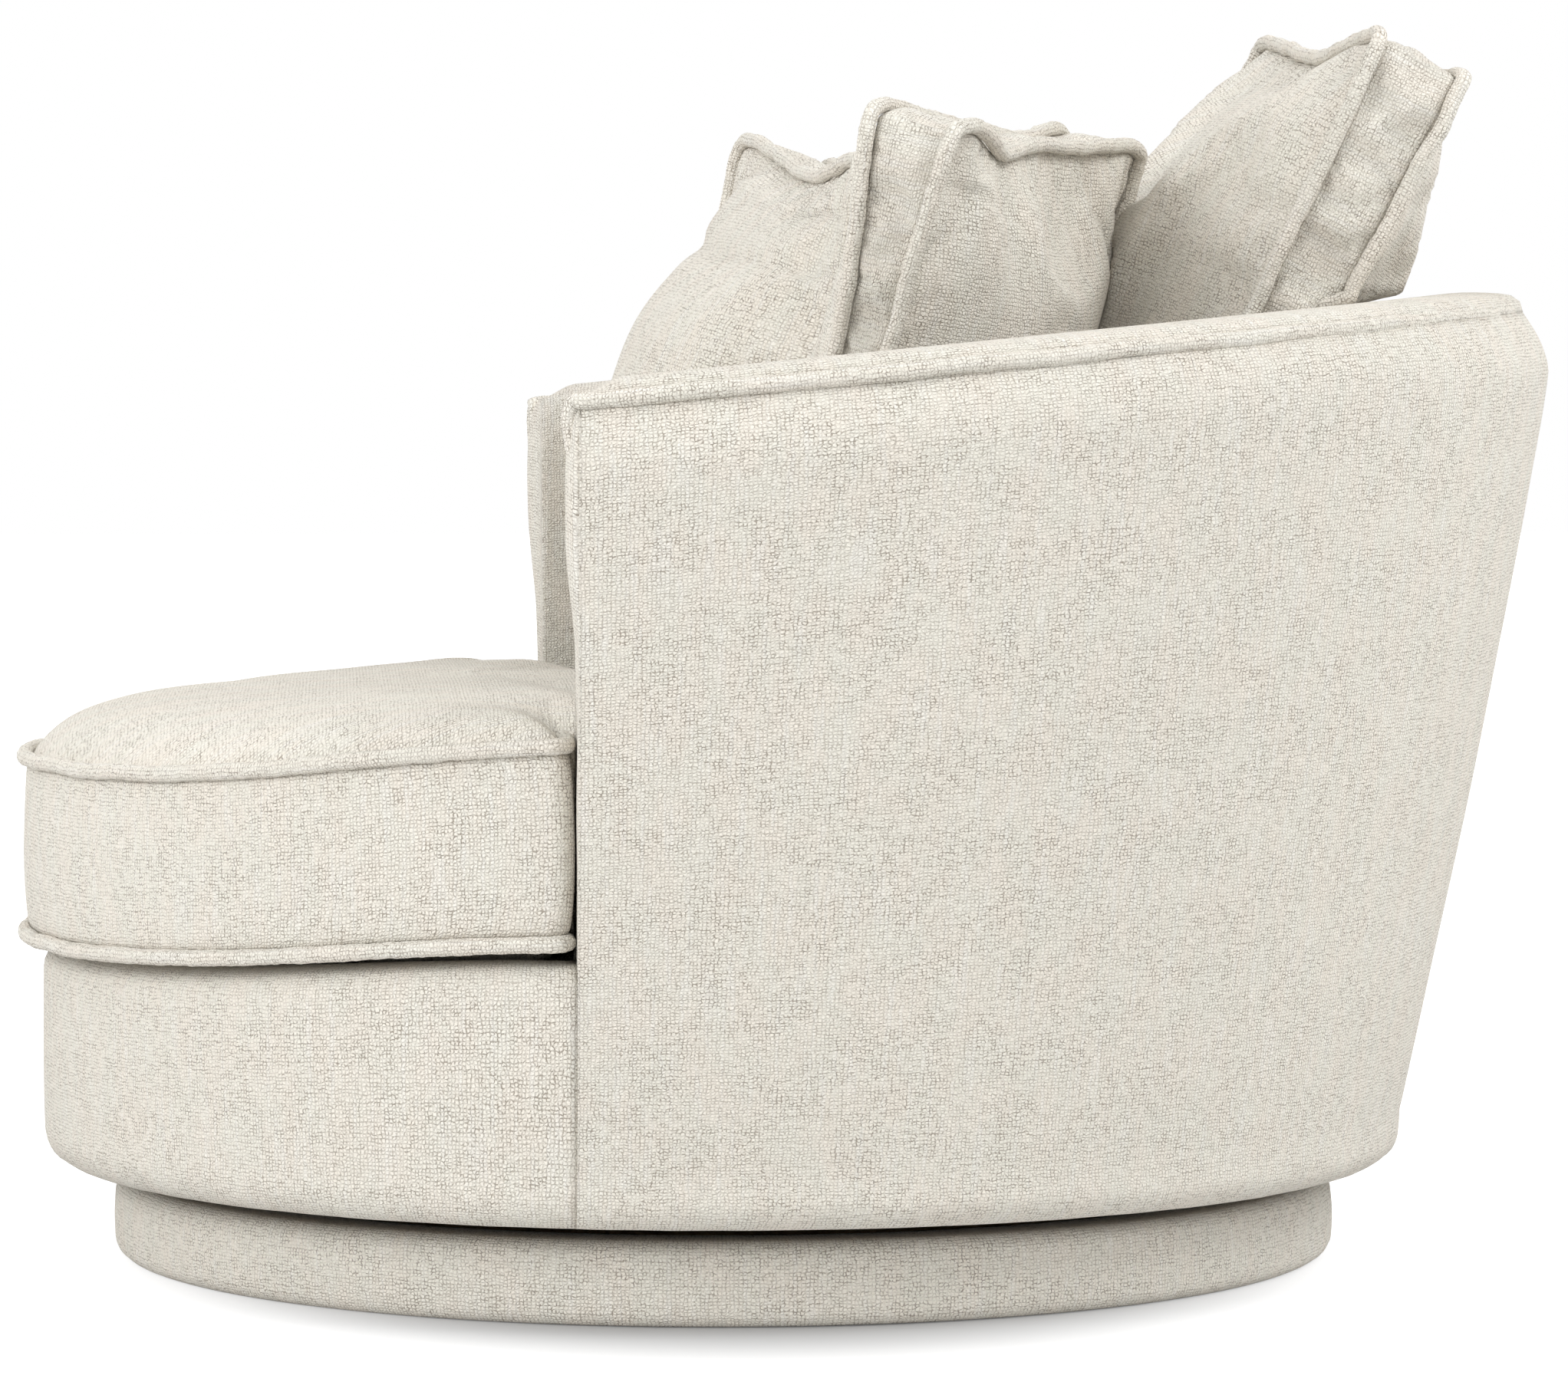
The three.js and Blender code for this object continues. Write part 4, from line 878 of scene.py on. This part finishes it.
def build_deck_front(material):
    """The deck's front between the arms; it swells up a little towards the arms."""
    section = deck_section()
    around = shares(200)
    points = []
    for share in around:
        for out, height in section:
            reach = outer_radius(NOMINAL_END, height) + out
            left, right = [math.acos((ARM_SEAM_Y[side] + COVER_END) / reach) for side in (1, -1)]
            angle = left + share * (2 * math.pi - left - right)
            spot = Vector((math.sin(angle) * DECK_RADIUS, math.cos(angle) * DECK_RADIUS, height))
            on_face = out > -DECK_BELLY
            belly = DECK_BELLY * math.sin(math.pi * clamp(height / DECK_TOP)) if on_face else 0.0
            tuck = DECK_SEAM_TUCK * bump(abs(share - 0.5), 0.5, DECK_SEAM_WIDTH)
            pucker = ripple(spot, DECK_PUCKER) * bump(height, 0, HEM_PUCKER_REACH)
            wave = max(ripple(spot, DECK_WAVE) + pucker, COVER_LEAST)
            radius = outer_radius(angle, height) + out + belly - tuck + wave
            raised = smooth((radius * math.cos(angle) + DECK_RAISE_START) / DECK_RAISE_LENGTH)
            raised *= DECK_RAISE * smooth(height / DECK_TOP)
            raised *= smooth((radius - DECK_CLOTH_RADIUS) / DECK_RAISE_EDGE)
            level = height + raised + SHELL_BOTTOM
            points.append(Vector((radius * math.sin(angle), radius * math.cos(angle), level)))
    across = [DECK_RADIUS * 2 * (math.pi - NOMINAL_END) * share for share in around]
    down = lengths([Vector((out, height, 0)) for out, height in section])
    faces, cloth = column_grid(across, down)
    front = make_piece("deck_front", points, faces, cloth, material, "seat", thickness=-CLOTH)
    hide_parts("deck_front_cover", "deck_front_foam")


def build_deck_top(material):
    """The cloth under the cushion."""
    rings, around = 24, 96
    level = DECK_TOP + SHELL_BOTTOM
    points = ring_points(DECK_CLOTH_HOLE, DECK_CLOTH_RADIUS, rings, around, level, DECK_CLOTH_WAVE,
                         sink=DECK_CLOTH_SINK)
    faces = turned_over(grid_faces(rings + 1, around, closed=True) + [tuple(range(around))])
    cloth = plan_places(points, faces)
    deck = make_piece("deck_top", points, faces, cloth, material, "seat", thickness=CLOTH)
    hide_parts("deck_cloth", "deck_pad")


def build_dust_cover():
    """The lining under the seat box, with a hole for the swivel."""
    low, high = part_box("dust_cover")
    outer, inner, level = high[0], DUST_COVER_HOLE, (low[2] + high[2]) / 2
    rings, around = 12, 96
    points = ring_points(inner, outer, rings, around, level, DUST_COVER_WAVE)
    faces = grid_faces(rings + 1, around, closed=True)
    cloth, material = plan_places(points, faces), grained_material("black_lining")
    lining = make_piece("dust_lining", points, faces, cloth, material, "seat")
    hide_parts("dust_cover")


def build_plinth():
    """The plinth's cover, with an upright seam, turned under at the foot and over at the top."""
    centre = PLINTH_RADIUS - PLINTH_ROUND
    straight = PLINTH_HEIGHT - 2 * PLINTH_ROUND
    section = [(centre - PLINTH_FOOT_HEM, PLINTH_FOOT_GAP)]
    section += arc(centre, PLINTH_ROUND, PLINTH_ROUND, -math.pi / 2, 0, 6)
    section += [(PLINTH_RADIUS, PLINTH_ROUND + straight * share) for share in shares(10)[1:-1]]
    section += arc(centre, PLINTH_HEIGHT - PLINTH_ROUND, PLINTH_ROUND, 0, math.pi / 2, 6)
    inwards = PLINTH_RADIUS - PLINTH_TOP_HEM - centre
    section += [(centre + inwards * share, PLINTH_HEIGHT) for share in shares(6)[1:]]
    seam_angle = math.atan2(PLINTH_SEAM_PLACE[1], PLINTH_SEAM_PLACE[0])
    around = shares(360)
    points = []
    for turn in around[:-1]:
        angle = 2 * math.pi * turn
        aside = (angle - seam_angle + math.pi) % (2 * math.pi) - math.pi
        seam = PLINTH_SEAM_DEPTH * bump(aside * PLINTH_RADIUS, 0, PLINTH_SEAM_WIDTH)
        for radius, height in section:
            spot = Vector((math.cos(angle) * PLINTH_RADIUS, math.sin(angle) * PLINTH_RADIUS, height))
            belly = PLINTH_BELLY * math.sin(math.pi * clamp(height / PLINTH_HEIGHT))
            wave = ripple(spot, PLINTH_WAVE) + ripple(spot, PLINTH_RIPPLE)
            radius += (belly + wave - seam) * smooth((radius - centre) / PLINTH_ROUND)
            points.append(Vector((math.cos(angle) * radius, math.sin(angle) * radius, height)))
    across = [2 * math.pi * PLINTH_RADIUS * turn for turn in around]
    down = lengths([Vector((radius, height, 0)) for radius, height in section])
    faces, cloth = column_grid(across, down, closed=True)
    material = chenille_material("chenille_plinth", 8)
    drum = make_piece("plinth_upholstery", points, faces, cloth, material, "base", thickness=CLOTH)
    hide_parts("plinth_cover", "plinth_padding")


# Seat cushion
def cushion_outline(inset, back=0.0):
    """The cushion's plan from the front middle round its left; back moves its back edge on."""
    wide, neck, ear = CUSHION_RADIUS - inset, CUSHION_NECK - inset, CUSHION_EAR
    back_y = ARM_FRONT_Y + CUSHION_BACK_GAP - CUSHION_WELT_SEAT - CUSHION_WELT - inset + back
    ear_y = back_y - ear
    ear_x = math.sqrt((wide - ear) ** 2 - ear_y ** 2)
    ear_turn = math.atan2(ear_y, ear_x)
    neck_turn = math.asin(back_y / neck)
    neck_x = neck * math.cos(neck_turn)
    half = arc(0, 0, wide, -math.pi / 2, ear_turn, 90)
    half += arc(ear_x, ear_y, ear, ear_turn, math.pi / 2, 12)[1:]
    half += [(half[-1][0] + (neck_x - half[-1][0]) * share, back_y) for share in shares(8)[1:-1]]
    half += arc(0, 0, neck, neck_turn, math.pi / 2, 100)
    return half + [(-x, y) for x, y in reversed(half[1:-1])]


def seam_lift(y, lift):
    height, start, length = lift
    return height * smooth((y + start) / length) * (1 - smooth((y + LIFT_FADE_START) / LIFT_FADE_LENGTH))


def edge_distance(places, outline):
    """Distance from each place to a closed outline."""
    start = numpy.array(outline)
    span = numpy.roll(start, -1, axis=0) - start
    square = (span ** 2).sum(axis=1)
    found = []
    for place in numpy.array(places):
        along = numpy.clip(((place - start) * span).sum(axis=1) / square, 0, 1)
        nearest = start + span * along[:, None]
        found.append(float(numpy.sqrt(((place - nearest) ** 2).sum(axis=1)).min()))
    return found


def cushion_crown(y, inward):
    """Height of the crowned top over its seam; the pillows press it down behind the sitter."""
    rise = sum(height * (1 - math.exp(-inward / reach)) for height, reach in CUSHION_CROWN)
    depth, start, length, edge = CUSHION_PRESS
    return rise - depth * smooth((y + start) / length) * min(inward / edge, 1)


def cushion_skin(edge, swollen, total):
    """Rows of points from the bottom's middle over the boxing to the top's middle, and what each row is."""
    low, high = CUSHION_SEAM, CUSHION_SEAM + CUSHION_BOXING
    points, kinds = [], []

    def pleat(index, depth):
        """Small gathers beside a seam."""
        s = total[index]
        fine = CUSHION_PLEAT * noise.noise(Vector((s / CUSHION_PLEAT_LENGTH, depth, 3.3)))
        return fine + ripple((s, depth, 0), CUSHION_GATHER)

    for share in shares(CUSHION_BOTTOM_ROWS)[1:]:
        for x, y in edge:
            in_y = CUSHION_CENTRE_Y + (y - CUSHION_CENTRE_Y) * share
            turn = smooth((share - CUSHION_FOOT_TURN[0]) / CUSHION_FOOT_TURN[1])
            height = (low + seam_lift(y, BOTTOM_LIFT)) * turn + CUSHION_FOOT_GAP
            points.append(Vector((x * share, in_y, height)))
        kinds.append("bottom")
    for v in shares(CUSHION_SIDE_ROWS)[1:]:
        for i, (x, y) in enumerate(edge):
            belly = math.sin(math.pi * v) ** CUSHION_BELLY_POWER
            fade = math.exp(-min(v, 1 - v) * CUSHION_BOXING / CUSHION_SIDE_PLEAT_REACH)
            px, py = x + (swollen[i][0] - x) * belly, y + (swollen[i][1] - y) * belly
            out = Vector((swollen[i][0] - x, swollen[i][1] - y, 0)).normalized()
            wave = pleat(i, v) * fade * (0 if v == 1 else CUSHION_SIDE_PLEAT)
            wave += ripple((px, py, v * CUSHION_BOXING), BOXING_WAVE) * belly
            z = (low + seam_lift(y, BOTTOM_LIFT)) * (1 - v) + (high + seam_lift(y, TOP_LIFT)) * v
            points.append(Vector((px, py, z)) + out * wave)
        kinds.append("side")
    for inwards in shares(CUSHION_TOP_ROWS)[1:-1]:
        share = (1 - inwards) ** CUSHION_TOP_SPREAD
        ring = [(x * share, CUSHION_CENTRE_Y + (y - CUSHION_CENTRE_Y) * share) for x, y in edge]
        for i, ((x, y), inward) in enumerate(zip(ring, edge_distance(ring, edge))):
            lift = seam_lift(edge[i][1], TOP_LIFT) * math.exp(-inward / TOP_LIFT_REACH)
            wave = pleat(i, 0.5) * math.exp(-inward / CUSHION_TOP_PLEAT_REACH) * min(inward / 0.004, 1)
            swell = ripple((x, y, 0), CUSHION_TOP_WAVE) * min(inward / 0.05, 1)
            points.append(Vector((x, y, high + lift + cushion_crown(y, inward) + wave + swell)))
        kinds.append("top")
    return points, kinds


def build_cushion():
    edge = cushion_outline(CUSHION_INSET, CUSHION_BACK_EDGE)
    swollen = cushion_outline(CUSHION_INSET - CUSHION_BULGE, CUSHION_BACK_SWOLLEN)
    around = len(edge)
    total = lengths([Vector((x, y, 0)) for x, y in edge + edge[:1]])
    points, kinds = cushion_skin(edge, swollen, total)
    rows = len(kinds)
    faces = grid_faces(rows, around, closed=True)
    cloth = plan_places(points, faces)
    for number in range(len(faces)):
        j, i = divmod(number, around)
        if kinds[j + 1] == "side":
            v0, v1 = (CUSHION_BOXING * (j + k - CUSHION_BOTTOM_ROWS) / CUSHION_SIDE_ROWS for k in (0, 1))
            cloth[number] = ((total[i], v0), (total[i + 1], v0), (total[i + 1], v1), (total[i], v1))
    fans = []
    for first, flip in ((0, True), ((rows - 1) * around, False)):
        points.append(sum(points[first:first + around], Vector()) / around)
        middle = len(points) - 1
        for i in range(around):
            a, b = first + i, first + (i + 1) % around
            fans.append((b, a, middle) if flip else (a, b, middle))
    faces, cloth = faces + fans, cloth + plan_places(points, fans)
    points = [point + Vector((0, 0, CUSHION_BOTTOM)) for point in points]
    material = chenille_material("chenille_seat", 10)
    cushion = make_piece("seat_cushion", points, faces, cloth, material, "seat_cushion")
    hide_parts("seat_cushion_cover", "seat_cushion_foam")
    build_cushion_piping("top", edge, CUSHION_SEAM + CUSHION_BOXING, 1, TOP_LIFT)
    build_cushion_piping("bottom", edge, CUSHION_SEAM, -1, BOTTOM_LIFT)
    return cushion


def build_cushion_piping(name, edge, level, towards, lift):
    outline = cushion_outline(CUSHION_INSET - CUSHION_WELT_SEAT * CUSHION_WELT_OUT)
    path = []
    for (x, y), (_, inner_y) in zip(outline, edge):
        height = CUSHION_BOTTOM + level + towards * CUSHION_WELT_SEAT * CUSHION_WELT_UP
        height += seam_lift(inner_y, lift)
        path.append(Vector((x, y, height + ripple((x, y, level), CUSHION_WELT_WAVES[name]))))
    material = chenille_material(f"chenille_seat_{name}_piping", 11 + towards)
    piece = f"seat_cushion_{name}_piping"
    welt = make_welt(piece, path, CUSHION_WELT, True, material, "seat_cushion", seed=5 + towards)
    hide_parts(f"seat_cushion_{name}_welt")


# Pillows: across and up run from -1 to 1 over a face, and face is -1 in front or 1 behind
class Pillow:
    """A boxed pillow: size is width and height, and place is turn, lean, roll and foot.

    sag draws its sides in, fullness flattens its crowns and rise moves them up, narrow thins the gusset,
    nod tips the front's top edge forwards and ear rounds the corners. A dip lowers the top edge: face,
    centre, width and depth. A dent presses a face in: face, centre across and up, widths and depth."""

    def __init__(self, name, size, gusset, crowns, place, sag, ear, dips, dents=(), fullness=2.4, rise=0.0,
                 narrow=0.3, nod=0.0):
        self.name, self.gusset, self.crowns = name, gusset, crowns
        self.width, self.height = size
        self.sag, self.fullness, self.rise, self.narrow = sag, fullness, rise, narrow
        self.nod, self.ear, self.dips, self.dents = nod, ear, dips, dents
        turn, lean, roll = (math.radians(angle) for angle in place[:3])
        turned = Matrix.Rotation(turn, 4, "Z") @ Matrix.Rotation(roll, 4, "Y")
        turned = turned @ Matrix.Rotation(-lean, 4, "X")
        self.place = Matrix.Translation(place[3]) @ turned

    def dome(self, across, up):
        shifted = clamp(up - self.rise * (1 - up * up), -1, 1)
        return (1 - abs(across) ** self.fullness) * (1 - abs(shifted) ** self.fullness)

    def local(self, across, up, face, depth=0.0):
        """A point of a face, or of the gusset where face is 0; depth runs from -1 in front to 1 behind."""
        rounded = 1 - self.ear * abs(across * up) ** PILLOW_CORNER_POWER
        x = self.width / 2 * across * (1 - self.sag * (1 - up * up)) * rounded
        z = self.height / 2 * (1 + up * (1 - self.sag * (1 - across * across)) * rounded)
        side = face if face else depth
        for where, centre, width, drop in self.dips:
            part = clamp(0.5 + 0.5 * side * where)
            z -= drop * bump(across, centre, width) * smooth((up - 0.2) / 0.8) * part
        a, b = across ** 4, up ** 4
        waist = self.narrow * (1 - up * up) * a + PILLOW_WAIST * (1 - across * across) * b
        waist /= a + b + 0.02
        y = self.gusset / 2 * (1 + side * (1 - waist))
        y -= self.nod * smooth((up - 0.4) / 0.4) * (1 - side) / 2
        if face:
            crown = self.crowns[0] if face < 0 else self.crowns[1]
            y += face * crown * self.dome(across, up)
            margin = min(1, (1 - abs(across)) * PILLOW_EDGE_FADE) * min(1, (1 - abs(up)) * PILLOW_EDGE_FADE)
            for dent_face, cx, cz, wx, wz, deep in self.dents:
                if dent_face == face:
                    y -= face * deep * bump(across, cx, wx) * bump(up, cz, wz) * margin
        return Vector((x, y, z))


PILLOWS = (
    Pillow("left_pillow", (0.446, 0.460), 0.058, (0.044, 0.044), (-25, 14, 0, (0.149, 0.081, 0.43377)),
           sag=0.065, rise=0.2, narrow=0.5, ear=0.05,
           dips=((1, 0.42, 0.2, 0.012), (-1, -0.5, 0.3, 0.008)),
           dents=((1, 0.42, 0.72, 0.13, 0.3, 0.012), (-1, 0.5, -0.35, 0.5, 0.5, -0.035))),
    Pillow("right_pillow", (0.450, 0.433), 0.058, (0.088, 0.024), (9, 16, 4, (-0.166, -0.038, 0.45524)),
           sag=0.08, fullness=3.0, nod=0.008, ear=0.065,
           dips=((-1, 0.3, 0.5, 0.014),),
           dents=((-1, 0.0, 0.64, 1.2, 0.33, 0.030), (-1, 0.0, 0.55, 1.2, 0.05, 0.008))),
    Pillow("back_pillow", (0.536, 0.572), 0.064, (0.076, 0.062), (1.5, 26, 2.5, (-0.014, 0.224, 0.43724)),
           sag=0.06, fullness=2.6, rise=0.3, narrow=0.2, ear=0.035,
           dips=((-1, 0.1, 0.4, 0.006), (1, 0.2, 0.3, 0.006))),
)


def edge_places(cells):
    steps = [2 * i / cells - 1 for i in range(cells)]
    return ([(s, -1.0) for s in steps] + [(1.0, s) for s in steps]
            + [(-s, 1.0) for s in steps] + [(-1.0, -s) for s in steps])


def away_from(across, up):
    """The direction straight out from a place on a pillow's edge."""
    return Vector((across if abs(across) == 1 else 0, 0, up if abs(up) == 1 else 0)).normalized()


def pillow_mesh(pillow, cells, seed):
    """Both faces and the gusset as one closed skin, in the pillow's own frame."""
    count = cells + 1
    points, faces, cloth = [], [], []
    steps = [2 * i / cells - 1 for i in range(count)]
    for face in (-1, 1):
        start = len(points)
        points += [pillow.local(across, up, face) for up in steps for across in steps]
        quads = [tuple(start + index for index in quad) for quad in grid_faces(count, count)]
        quads = quads if face < 0 else turned_over(quads)
        faces += quads
        for quad in quads:
            cloth.append(tuple((points[index].x + 0.3 * face, points[index].z) for index in quad))
    edge = edge_places(cells)
    around = len(edge)
    step = (pillow.width + pillow.height) * 2 / around

    def on_face(face, place):
        across, up = place
        start = 0 if face < 0 else count * count
        return start + round((up + 1) * cells / 2) * count + round((across + 1) * cells / 2)

    seams = {face: [on_face(face, place) for place in edge] for face in (-1, 1)}
    previous = seams[-1]
    for k in range(1, PILLOW_BANDS + 1):
        row = []
        depth = 2 * k / PILLOW_BANDS - 1
        for across, up in edge if k < PILLOW_BANDS else ():
            point = pillow.local(across, up, 0, depth)
            crumple = GUSSET_CRUMPLE * lump(point, 0.035, seed + 3)
            crumple -= GUSSET_CRUMPLE * abs(lump(point, 0.05, seed + 4))
            row.append(len(points))
            points.append(point + away_from(across, up) * (GUSSET_BULGE + crumple) * (1 - depth * depth))
        row = row or seams[1]
        for i in range(around):
            m = (i + 1) % around
            faces.append((previous[m], previous[i], row[i], row[m]))
            v0, v1 = pillow.gusset * (k - 1) / PILLOW_BANDS, pillow.gusset * k / PILLOW_BANDS
            cloth.append((((i + 1) * step, v0), (i * step, v0), (i * step, v1), ((i + 1) * step, v1)))
        previous = row
    return points, faces, cloth, seams


def inflate(piece, held):
    """Blows a cloth piece up while its seams are held, and keeps how it wrinkles."""
    mesh = piece.data
    before = [vertex.co.copy() for vertex in mesh.vertices]
    group = piece.vertex_groups.new(name="seams")
    group.add(held, 1.0, "REPLACE")
    cloth = piece.modifiers.new("cloth", "CLOTH")
    for key, value in INFLATION.items():
        setattr(cloth.settings, key, value)
    cloth.settings.effector_weights.gravity = 0
    cloth.collision_settings.use_collision = False
    cloth.point_cache.frame_start = 1
    cloth.point_cache.frame_end = INFLATION_FRAMES
    scene = bpy.context.scene
    for number in range(1, INFLATION_FRAMES + 1):
        scene.frame_set(number)
    depsgraph = bpy.context.evaluated_depsgraph_get()
    moved = [vertex.co.copy() for vertex in piece.evaluated_get(depsgraph).data.vertices]
    piece.modifiers.clear()
    piece.vertex_groups.clear()
    scene.frame_set(1)
    for vertex, start, end in zip(mesh.vertices, before, moved):
        shift = end - start
        over = shift.length - INFLATION_LIMIT
        if over > 0:
            shift *= (INFLATION_LIMIT + INFLATION_GIVE * over / (1 + over / INFLATION_LIMIT)) / shift.length
        vertex.co = start + shift
    mesh.update()


def held_clear(points, resting, neighbours, gap):
    """Points lifted onto the cushion, drawn in from the wall, and pushed out of neighbouring pillows."""
    clear = []
    for point in points:
        point = point.copy()
        for tree in neighbours:
            nearest, normal, _, _ = tree.find_nearest(point, PILLOW_BESIDE)
            if nearest is not None and (point - nearest).dot(normal) < gap:
                point = nearest + normal * gap
        hit = resting.ray_cast(Vector((point.x, point.y, PILLOW_TOP)), Vector((0, 0, -1)))[0]
        if hit is not None and point.z < hit.z + gap:
            point.z = hit.z + gap
        height = point.z - SHELL_BOTTOM
        angle = math.atan2(point.x, point.y)
        along = clamp(angle / NOMINAL_END, -1, 1)
        radius = math.hypot(point.x, point.y)
        if WALL_FOOT < height < rim_height(along) and abs(angle) < NOMINAL_END:
            reach = outer_radius(angle, height) - inner_inset(along, height) - LINING_GAP - gap
            if radius > reach:
                point.x *= reach / radius
                point.y *= reach / radius
        clear.append(point)
    return clear


def tree_of(piece):
    mesh = piece.data
    places = [vertex.co for vertex in mesh.vertices]
    return BVHTree.FromPolygons(places, [face.vertices for face in mesh.polygons])


def build_pillow(pillow, seed, resting, neighbours):
    cells = PILLOW_CELLS
    points, faces, cloth, seams = pillow_mesh(pillow, cells, seed)
    points = [pillow.place @ point for point in points]
    material = chenille_material(f"chenille_{pillow.name}", seed)
    piece = make_piece(pillow.name, points, faces, cloth, material, pillow.name)
    inflate(piece, seams[-1] + seams[1])
    mesh = piece.data
    held = held_clear([vertex.co for vertex in mesh.vertices], resting, neighbours, PILLOW_GAP)
    for vertex, place in zip(mesh.vertices, held):
        vertex.co = place
    mesh.update()
    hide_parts(f"{pillow.name}_cover", f"{pillow.name}_filling")
    for word, face in (("front", -1), ("back", 1)):
        path = []
        for across, up in edge_places(cells):
            spot = pillow.local(across, up, face) + away_from(across, up) * PILLOW_WELT * PILLOW_WELT_OUT
            path.append(pillow.place @ (spot + Vector((0, face * PILLOW_WELT * PILLOW_WELT_ALONG, 0))))
        path = held_clear(path, resting, neighbours, PILLOW_WELT + PILLOW_WELT_GAP)
        material = chenille_material(f"chenille_{pillow.name}_{word}", seed + 1 + face)
        welt = make_welt(f"{pillow.name}_{word}_piping", path, PILLOW_WELT, True, material, pillow.name,
                         wander=PILLOW_WELT_WANDER, seed=seed + face)
        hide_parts(f"{pillow.name}_{word}_welt")
    return piece


build_camera()
bpy.context.scene.view_settings.view_transform = "Standard"
build_world()
build_floor()
for name, (place, power) in LAMPS.items():
    build_lamp(name, place, power)
dress_frame()
build_plinth()
build_dust_cover()
deck_material = chenille_material("chenille_deck", 7)
build_deck_front(deck_material)
build_deck_top(deck_material)
build_barrel()
resting = tree_of(build_cushion())
neighbours = []
for number, pillow in enumerate(PILLOWS):
    neighbours.append(tree_of(build_pillow(pillow, 20 + 5 * number, resting, neighbours)))
